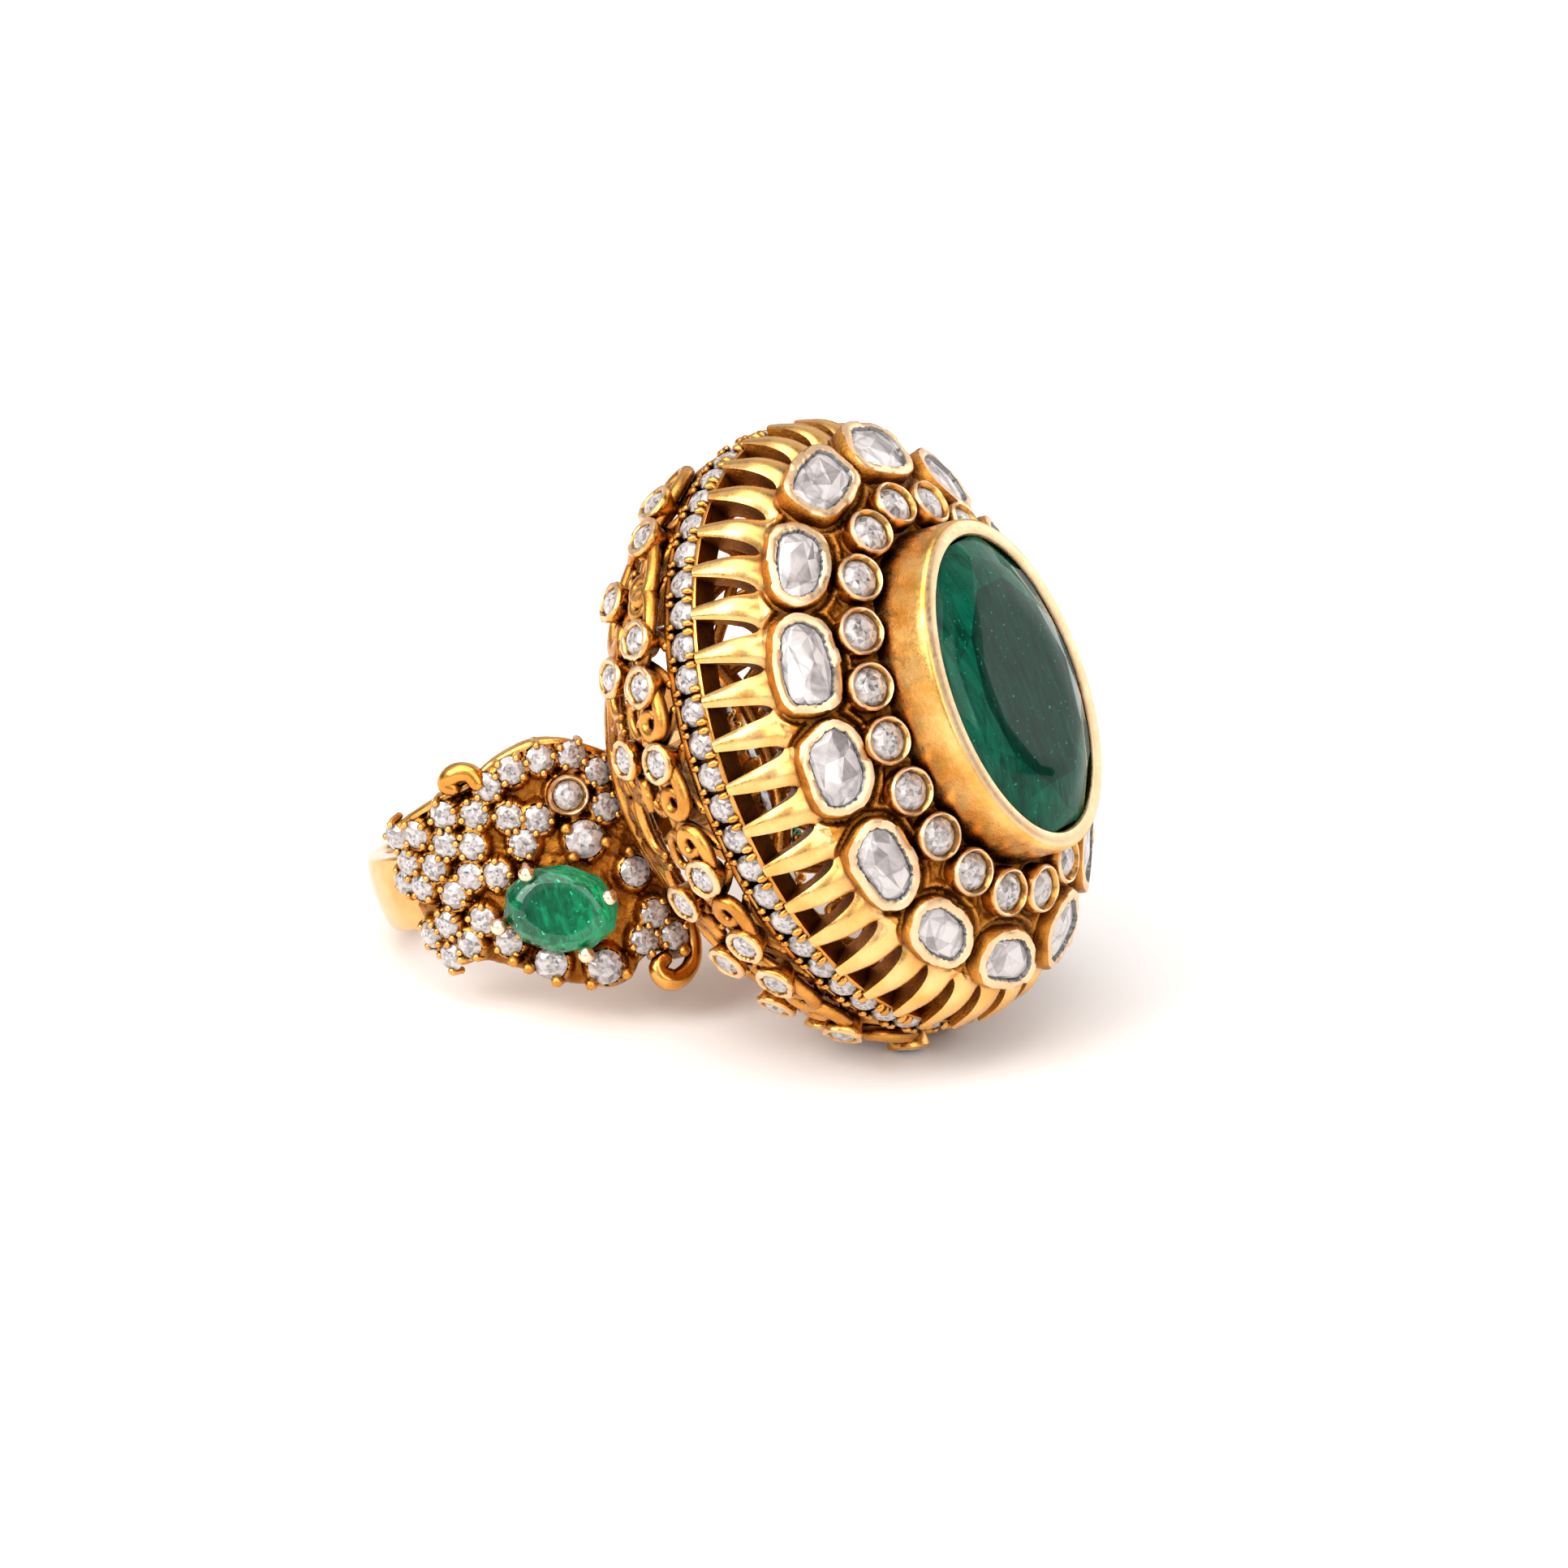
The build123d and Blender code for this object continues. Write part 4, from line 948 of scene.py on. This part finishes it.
def build_dome():
    """Fluted skirt with arched openings that grows into the carved dome plate."""
    rows_foot, rows_arch, rows_plate = 22, 12, 62
    profile = smooth_line(DOME_LEVELS, 900)
    foot = np.linspace(FLUTE_FOOT, ARCH_SPRING, rows_foot, endpoint=False)
    closing = (1 - np.linspace(0, 1, rows_arch, endpoint=False)) ** 1.6
    arch = ARCH_TOP - (ARCH_TOP - ARCH_SPRING) * closing
    picks = np.linspace(np.searchsorted(profile[:, 0], ARCH_TOP), len(profile) - 1, rows_plate)
    height = np.concatenate([foot, arch, profile[picks.astype(int), 0]])[:, None]
    length, width = [np.interp(height, profile[:, 0], profile[:, k]) for k in (1, 2)]
    walk, walked = oval_walk(FLUTE_OVAL)
    pitch = walked[-1] / FLUTE_COUNT
    # Across a flute, lean runs from -1 at one opening to 1 at the next one.
    lean = np.linspace(-1, 1, 17)
    half = pitch / 2 - np.interp(height, *zip(*ARCH_HALF_WIDTHS))
    middles = (np.arange(FLUTE_COUNT) + FLUTE_PHASE + 0.5) * pitch
    arc = (middles[:, None] + half[:, None] * lean).reshape(len(height), -1)
    grid = on_oval(length, width, np.interp(arc % walked[-1], walked, walk), height)
    rows, count = arc.shape
    normal = np.cross(np.roll(grid, -3, axis=1) - np.roll(grid, 3, axis=1),
                      np.gradient(grid, axis=0))
    normal /= np.linalg.norm(normal, axis=-1)[..., None]
    over = np.clip((height - ARCH_TOP) / (0.6, 0.35, 1.5), 0, 1)
    crown = 0.32 * half * np.abs(np.tile(lean, FLUTE_COUNT)) ** 2.4
    rise = over[:, 1:2] * dome_relief(grid.reshape(-1, 3)).reshape(rows, count)
    outside = grid + normal * (rise - crown * (1 - over[:, :1]))[..., None]
    depth = 1.5 - 0.6 * over[:, 2:] - 0.05 * ripple(grid, 9.0) * (height < ARCH_TOP)
    inside = grid - normal * depth[..., None]
    total = rows * count
    faces, paints = [], []
    for column in range(count):
        spot = column % len(lean)
        if spot == len(lean) - 1:
            continue
        for row in range(rows - 1):
            low, high = row * count + column, (row + 1) * count + column
            quad = (low, low + 1, high + 1, high)
            faces += [quad, [total + index for index in quad]]
            # Inside faces take the dark inner gold, painted shade.
            paints += [0 if row < rows_foot + rows_arch + 4 else 1, 2]
            if row < rows_foot + rows_arch and spot in (0, len(lean) - 2):
                low, high = low + (spot > 0), high + (spot > 0)
                faces.append((low, high, total + high, total + low))
                paints.append(1)
        for low in (column, total - count + column):
            faces.append((low, low + 1, total + low + 1, total + low))
            paints.append(1)
    shape = Shape()
    shape.add(np.vstack([outside.reshape(-1, 3), inside.reshape(-1, 3)]), faces, paints)
    make_piece("dome_casting", shape, [FLUTE_GOLD, DOME_GOLD, SHADED_INNER_GOLD], "yellow_gold",
               "fluted_dome")


def build_polki():
    """Ring of irregular flat diamonds, each in a cup cut to its outline."""
    for number, (place, corners) in enumerate(zip(POLKI_PLACES, POLKI_OUTLINES), start=1):
        cup, gem = Shape(), Shape()
        place = place.moved(0, 0, -0.15)
        add_cup(cup, place, rounded_outline(corners, 84), 0.5, 1.6, number, 0.08, lip_paint=2)
        add_polki(gem, place.moved(0, 0, -0.08), corners, number + 40)
        make_piece(f"polki_bezel_{number:02d}", cup, [DOME_GOLD, RIM_GOLD, DARK_LIP_LINE], "cup_gold",
                   f"polki_cup_{number:02d}")
        make_piece(f"polki_stone_{number:02d}", gem, [POLKI], "polki_diamond",
                   f"polki_diamond_{number:02d}")


# ------------------------------------------------------------------ centre stone
def build_collet():
    """Tall rubbed-over wall with file marks, and the emerald inside it."""
    length, width = COLLET_OVAL
    steps = 300
    turns = round_turns(steps)
    chance = random.Random(9)
    marks = np.array([chance.uniform(-1, 1) for _ in range(steps)])
    marks = (marks + np.roll(marks, 1)) / 2
    # Each level of the section is (outward, height, roughness of the file marks).
    section = ((0.16, COLLET_FOOT, 0.2), (0.12, 28.3, 0.2), (0.04, 28.9, 0.6), (0.0, 30.0, 0.7),
               (0.0, 31.0, 1.0), (-0.02, COLLET_TOP - 0.28, 0.6), (-0.08, COLLET_TOP - 0.08, 0.2),
               (-0.18, COLLET_TOP, 0.1), (-0.5, COLLET_TOP + 0.1, 0.1),
               (-0.84, COLLET_TOP + 0.06, 0.2), (-0.92, COLLET_TOP - 0.06, 0.3),
               (-0.95, COLLET_TOP - 0.6, 0.0), (-0.95, COLLET_FOOT, 0.0))
    points = []
    for out, height, rough in section:
        shift = rough * (0.022 * marks + 0.012 * np.sin(turns * 7 + height))
        points.extend(on_oval(length + out + shift, width + out + shift, turns,
                              height + 0.02 * rough * shift))
    rim_rings = (7, 8, 9)
    paints = [int(ring in rim_rings) for ring in range(len(section))]
    shape = Shape()
    shape.add(points, grid_faces(len(section), steps, closed=True, closed_rows=True),
              np.repeat(paints, steps))
    make_piece("collet", shape, [COLLET_GOLD, RIM_GOLD], "cup_gold", "emerald_collet")
    gem = Shape()
    girdle = (length - 0.72, width - 0.6)
    height = COLLET_TOP - 0.25
    points, faces, tones = oval_gem(girdle, EMERALD_TOP - height, 3.4, 0.68, 77)
    points = points * (-1, -1, 1) + (0, 0, height)
    # Painted reflection: crown facets on the +y side get a tone past the top of the ramp, a lighter
    # grey-green band.
    for index, face in enumerate(faces):
        middle = points[list(face)].mean(0)
        if middle[1] > 0.66 * girdle[1] and middle[2] > height:
            tones[index] = 1.45
    gem.add(points, faces, smooth=False, tones=tones)
    make_piece("emerald_stone", gem, [EMERALD], "emerald", "centre_emerald")


# ------------------------------------------------------------------ shoulders
def shoulder_points(along, across, radius, side):
    """Upright points of shoulder coordinates at a distance from the finger's axis."""
    turn = along / SHOULDER_RADIUS
    parts = np.broadcast_arrays(-across, side * radius * np.cos(turn), radius * np.sin(turn))
    return np.stack(parts, -1)


def shoulder_place(spot, side, radius):
    """Place on a shoulder: x towards the head, z out of the band."""
    along, across = spot
    turn = along / SHOULDER_RADIUS
    ahead = (0, -side * math.sin(turn), math.cos(turn))
    outward = (0, side * math.cos(turn), math.sin(turn))
    return Place(shoulder_points(along, across, radius, side), ahead, outward)


def tail_drop(along):
    """How far a shoulder thins towards its tail."""
    return 0.35 * np.maximum((0.5 - along) / 2.8, 0) ** 1.5


def plate_height(along, across):
    """Outer radius of a shoulder plate: seats, collars and sunk ground between them."""
    height = np.full(along.shape, -0.5)
    seats = [(*spot, PAVE_STONE) for spot in PAVE_PLACES]
    for x, y, radius in (*seats, *LARGE_PLACES, (*ACCENT_PLACE, ACCENT_CUP)):
        gap = np.hypot(along - x, across - y) - radius
        collar = 0.6 * np.exp(-(np.clip(gap - 0.1, 0, 9) / 0.2) ** 2) - 0.52
        height = np.maximum(height, collar)
        height = np.where(gap < -0.02, -0.3, height)
    x, y = along - SIDE_EMERALD_PLACE[0], across - SIDE_EMERALD_PLACE[1]
    height = np.where(np.hypot(x / 3.0, y / 2.6) < 0.95, -0.4, height)
    flat = np.stack([along, across, along * 0], -1)
    return (PLATE_OUTER - tail_drop(along) + height + 0.06 * ripple(flat, 3.6)
            + 0.05 * ripple(flat, 9.0, 3))


def add_plate(shape, side):
    """Carved plate between its two edges, with its wall down to the finger side."""
    rows, columns = 110, 150
    along = np.linspace(UPPER_EDGE[0][0], UPPER_EDGE[-1][0], columns)
    high, low = [np.interp(along, *smooth_line(edge, 400).T) for edge in (UPPER_EDGE, LOWER_EDGE)]
    across = low + (high - low) * np.linspace(0, 1, rows)[:, None]
    along = np.broadcast_to(along, across.shape)
    radius = plate_height(along, across)
    edge = np.minimum(np.minimum(across - low, high - across),
                      np.minimum(along - along[0, 0], along[0, -1] - along + 1))
    radius -= 0.25 * np.exp(-np.clip(edge, 0, 9) / 0.12)
    rim = (high - across < 0.42) & (along > 0.5)
    fall = np.clip(0.2 - (high - across), 0, 1) / 0.2
    radius = np.where(rim, PLATE_OUTER - 0.12 - 0.2 * fall ** 2, radius)
    top = shoulder_points(along, across, radius, side).reshape(-1, 3)
    bottom = shoulder_points(along, across, PLATE_INNER, side).reshape(-1, 3)
    ground = (radius[:-1, :-1] + radius[1:, 1:]) / 2 - PLATE_OUTER < -0.3
    total = rows * columns
    quads = grid_faces(rows, columns)
    walls = [(row * columns + column, row * columns + column + 1)
             for column in range(columns - 1) for row in (0, rows - 1)]
    walls += [(row * columns + column, (row + 1) * columns + column)
              for row in range(rows - 1) for column in (0, columns - 1)]
    faces = [*quads, *[[total + index for index in quad] for quad in quads],
             *[(first, last, total + last, total + first) for first, last in walls]]
    paints = [*np.where(rim[:-1, :-1], 1, ground * 2).ravel(), *[0] * len(quads),
              *[1] * len(walls)]
    shape.add(np.vstack([top, bottom]), faces, paints)


def add_beads(shape, side):
    """Beads raised beside the stones; neighbours share one where they meet."""
    placed = []
    reach = PAVE_STONE + 0.1
    for index, (x, y) in enumerate(PAVE_PLACES):
        spin = random.Random(index + 60).uniform(0, 90)
        for quarter in range(4):
            turn = math.radians(spin + quarter * 90)
            spot = (x + reach * math.cos(turn), y + reach * math.sin(turn))
            if (any(math.dist(spot, other) < 0.36 for other in placed)
                    or any(math.dist(spot, other) < PAVE_STONE - 0.12 for other in PAVE_PLACES)):
                continue
            placed.append(spot)
            place = shoulder_place(spot, side, PLATE_OUTER - tail_drop(spot[0]))
            inward = place.x * -math.cos(turn) + place.y * (side * math.sin(turn))
            path = (place.origin - place.z * 0.6 - inward * 0.12, place.origin,
                    place.origin + place.z * 0.16 + inward * 0.1)
            add_tube(shape, path, (0.2, 0.22, 0.2), place.x, paint=1, sides=7)


def build_shoulder(name, side):
    """One shoulder: plate, beads, stones, accent cup, side emerald and scroll ends."""
    plate, stones, large = Shape(), Shape(), Shape()
    add_plate(plate, side)
    add_beads(plate, side)
    for spot in LARGE_CLAWS:
        place = shoulder_place(spot, side, PLATE_OUTER - 0.2)
        path = np.linspace(place.origin - place.z * 0.8, place.origin + place.z * 0.55, 5)
        add_tube(plate, path, (0.4, 0.38, 0.34, 0.32, 0.32), place.x)
    for index, spot in enumerate(PAVE_PLACES):
        place = shoulder_place(spot, side, PLATE_OUTER + 0.03 - tail_drop(spot[0]))
        add_brilliant(stones, place, PAVE_STONE, 600 + index)
    for index, (x, y, radius) in enumerate(LARGE_PLACES):
        add_brilliant(large, shoulder_place((x, y), side, PLATE_OUTER + 0.15), radius, 700 + index)
    make_piece(f"{name}_shoulder", plate, [PLATE_GOLD, CUP_GOLD, GROUND_GOLD], "yellow_gold",
               f"{name}_shoulder_plate")
    for piece, shape, node in (("pave", stones, "pave"), ("claw_stones", large, "prong")):
        make_piece(f"{name}_{piece}", shape, [BRILLIANT], "brilliant_diamond",
                   f"{name}_{node}_diamonds")
    build_cup_set((f"{name}_accent_bezel", f"{name}_accent_stone"),
                  (f"{name}_accent_cup", f"{name}_accent_diamond"),
                  [shoulder_place(ACCENT_PLACE, side, PLATE_OUTER + 0.55)],
                  ACCENT_STONE, ACCENT_CUP, 1.6, 0.22, (801, 802), sunk=True)
    build_side_emerald(name, side)
    build_scrolls(name, side)


def build_side_emerald(name, side):
    """Oval emerald of a shoulder with its wire gallery and four ball-tipped claws."""
    place = shoulder_place(SIDE_EMERALD_PLACE, side, SIDE_EMERALD_HEIGHT)
    place = place.moved(0, 0, 0, -side * SIDE_EMERALD_TILT)
    gem, claws = Shape(), Shape()
    length, width = SIDE_EMERALD_OVAL
    points, faces, tones = oval_gem(SIDE_EMERALD_OVAL, 0.75, 1.2, 0.74, 34)
    # Painted light and shade: facet tones grow lighter along the stone towards +x of its place.
    tones = [0.4 * tone + 0.36 + 0.24 * points[list(face), 0].mean() / length
             for face, tone in zip(faces, tones)]
    gem.add(place.at(points), faces, smooth=False, tones=tones)
    for height, shrink in ((-1.1, 0.7), (-0.6, 0.45)):
        ring = level_ring(length - shrink, width - shrink, 60, height)
        add_tube(claws, place.at([*ring, ring[0]]), 0.22, place.z, ball_ends=False)
    for spot in CLAW_PLACES:
        foot = shoulder_place(spot, side, PLATE_OUTER - 0.4)
        tip = shoulder_place(spot, side, SIDE_EMERALD_HEIGHT + 0.6).origin
        lean = (place.origin - tip) * 0.05
        path = smooth_line((foot.origin - lean, (foot.origin + tip) / 2 - lean, tip + lean), 9)
        add_tube(claws, path, 0.26, foot.x, sides=10, ball_ends=False)
        add_ball(claws, tip + lean, 0.44, sides=16, rings=10)
    make_piece(f"{name}_emerald_stone", gem, [SIDE_EMERALD], "emerald", f"{name}_side_emerald")
    make_piece(f"{name}_claw_setting", claws, [ROSE_GOLD], "rose_gold", f"{name}_emerald_claws")


def build_scrolls(name, side):
    """Hooked wire at the low corner and curled tongue at the upper edge of a shoulder."""
    shape = Shape()
    for corners, count, radius, shares, sizes in (
            (HOOK_LINE, 40, PLATE_OUTER - 0.2, (0, 0.5, 0.75, 1.0), (0.34, 0.46, 0.6, 0.42)),
            (TONGUE_LINE, 36, PLATE_OUTER - 0.05, (0, 0.6, 1), (0.5, 0.55, 0.42))):
        along, across = smooth_line(corners, count).T
        add_tube(shape, shoulder_points(along, across, radius, side),
                 np.interp(np.linspace(0, 1, count), shares, sizes),
                 shoulder_points(along, across * 0, 1, side), sides=14)
    make_piece(f"{name}_scroll_ends", shape, [YELLOW], "yellow_gold", f"{name}_shoulder_scrolls")


# ------------------------------------------------------------------ scene
def dress_hidden_parts():
    """Procedural materials for the CAD nodes that stay."""
    for node, material in (("emerald_bearing", COLLET_GOLD), ("polki_foils", FOIL)):
        mesh = frame["nodes"][node].data
        mesh.materials.clear()
        mesh.materials.append(material)


def floor_material():
    """Smooth white paper with a barely uneven tone."""
    paint = Paint("paper_floor")
    color = paint.mix(paint.noise(60, 3), (0.90, 0.885, 0.875), (0.93, 0.915, 0.905))
    paint.set(Base_Color=color, Roughness=0.7)
    paint.bump(paint.noise(0.8, 3), 0.01)
    return paint.material


def build_floor(lowest):
    """Plain pale floor under the ring."""
    mesh = bpy.data.meshes.new("floor")
    reach = 1.5
    corners = [(x * reach, y * reach, lowest) for x, y in ((-1, -1), (1, -1), (1, 1), (-1, 1))]
    mesh.from_pydata(corners, [], [(0, 1, 2, 3)])
    mesh.materials.append(floor_material())
    new_object("floor", mesh)


def add_camera():
    """Long lens at the height and side from which the ring is seen."""
    azimuth, elevation = math.radians(CAMERA_AZIMUTH), math.radians(CAMERA_ELEVATION)
    right = Vector((math.cos(azimuth), math.sin(azimuth), 0))
    toward = Vector((math.sin(azimuth) * math.cos(elevation),
                     -math.cos(azimuth) * math.cos(elevation), math.sin(elevation)))
    up = toward.cross(right)
    place = (HEAD_Z * CAMERA_AIM + toward * CAMERA_DISTANCE + right * CAMERA_RIGHT
             + up * CAMERA_UP) * MM
    data = bpy.data.cameras.new("camera")
    data.lens = CAMERA_LENS
    data.sensor_width = 36
    data.clip_start = 0.01
    camera = new_object("camera", data)
    basis = Matrix((right, up, toward)).transposed()
    camera.matrix_world = Matrix.Translation(place) @ basis.to_4x4()
    bpy.context.scene.camera = camera
    return right, toward


def add_lights(right, toward):
    """Soft studio light: square softboxes aimed at the ring, and a patchy bright room."""
    level = Vector((toward.x, toward.y, 0)).normalized()
    sky = Vector((0, 0, 1))
    for name, direction, distance, size, energy, color in (
            ("key", -right + level * 0.7 + sky * 0.75, 1.6, 1.0, 16.5, (1.0, 0.99, 0.975)),
            ("top", -right * 0.2 + level * 0.3 + sky, 1.6, 1.7, 21.0, (1.0, 0.975, 0.965)),
            ("fill", right * 0.5 + level * 1.1 + sky * 0.7, 1.6, 1.0, 7.0, (1.0, 0.97, 0.95)),
            ("backdrop", right * 0.85 - level * 0.55 + sky * 0.24, 1.5, 1.2, 6.5,
             (1.0, 0.98, 0.97))):
        data = bpy.data.lights.new(name, "AREA")
        data.shape = "SQUARE"
        data.size = size
        data.energy = energy
        data.color = color
        light = new_object(name, data)
        direction.normalize()
        light.location = direction * distance + Vector((0.015, 0, 0))
        light.rotation_euler = direction.to_track_quat("Z", "Y").to_euler()
    world = bpy.data.worlds.new("room")
    world.use_nodes = True
    room = Nodes(world.node_tree)
    where = room.node("TexCoord").outputs["Generated"]
    patches = room.node("TexNoise", Vector=where, Scale=1.7, Detail=1.5).outputs["Fac"]
    # The room grows a little brighter upwards.
    up = room.node("SeparateXYZ", where).outputs["Z"]
    level = room.node("Math", up, 0.1, patches, operation="MULTIPLY_ADD").outputs[0]
    color = room.ramp(level, (0.40, (0.13, 0.11, 0.09)), (0.56, (0.85, 0.84, 0.83)))
    room.fill(room.tree.nodes["Background"], [("Color", color), ("Strength", 1.0)])
    bpy.context.scene.world = world


build_band()
build_basket()
build_cup_set(("gallery_bezels", "gallery_stones"), ("gallery_cups", "gallery_diamonds"),
              gallery_places(), GALLERY_STONE, GALLERY_CUP, 1.15, 0.12, (400, 500), taper=0.35)
build_girdle()
build_dome()
build_cup_set(("round_bezels", "round_stones"), ("round_cups", "round_diamonds"),
              ROUND_PLACES, ROUND_STONE, ROUND_CUP, 1.4, 0.28, (200, 300), sunk=True)
build_polki()
build_collet()
build_shoulder("near", -1)
build_shoulder("far", 1)
dress_hidden_parts()
lowest_point = min(corner[2] for corner in cad_box)
build_floor(lowest_point)
add_lights(*add_camera())
bpy.context.scene.view_settings.view_transform = "Standard"
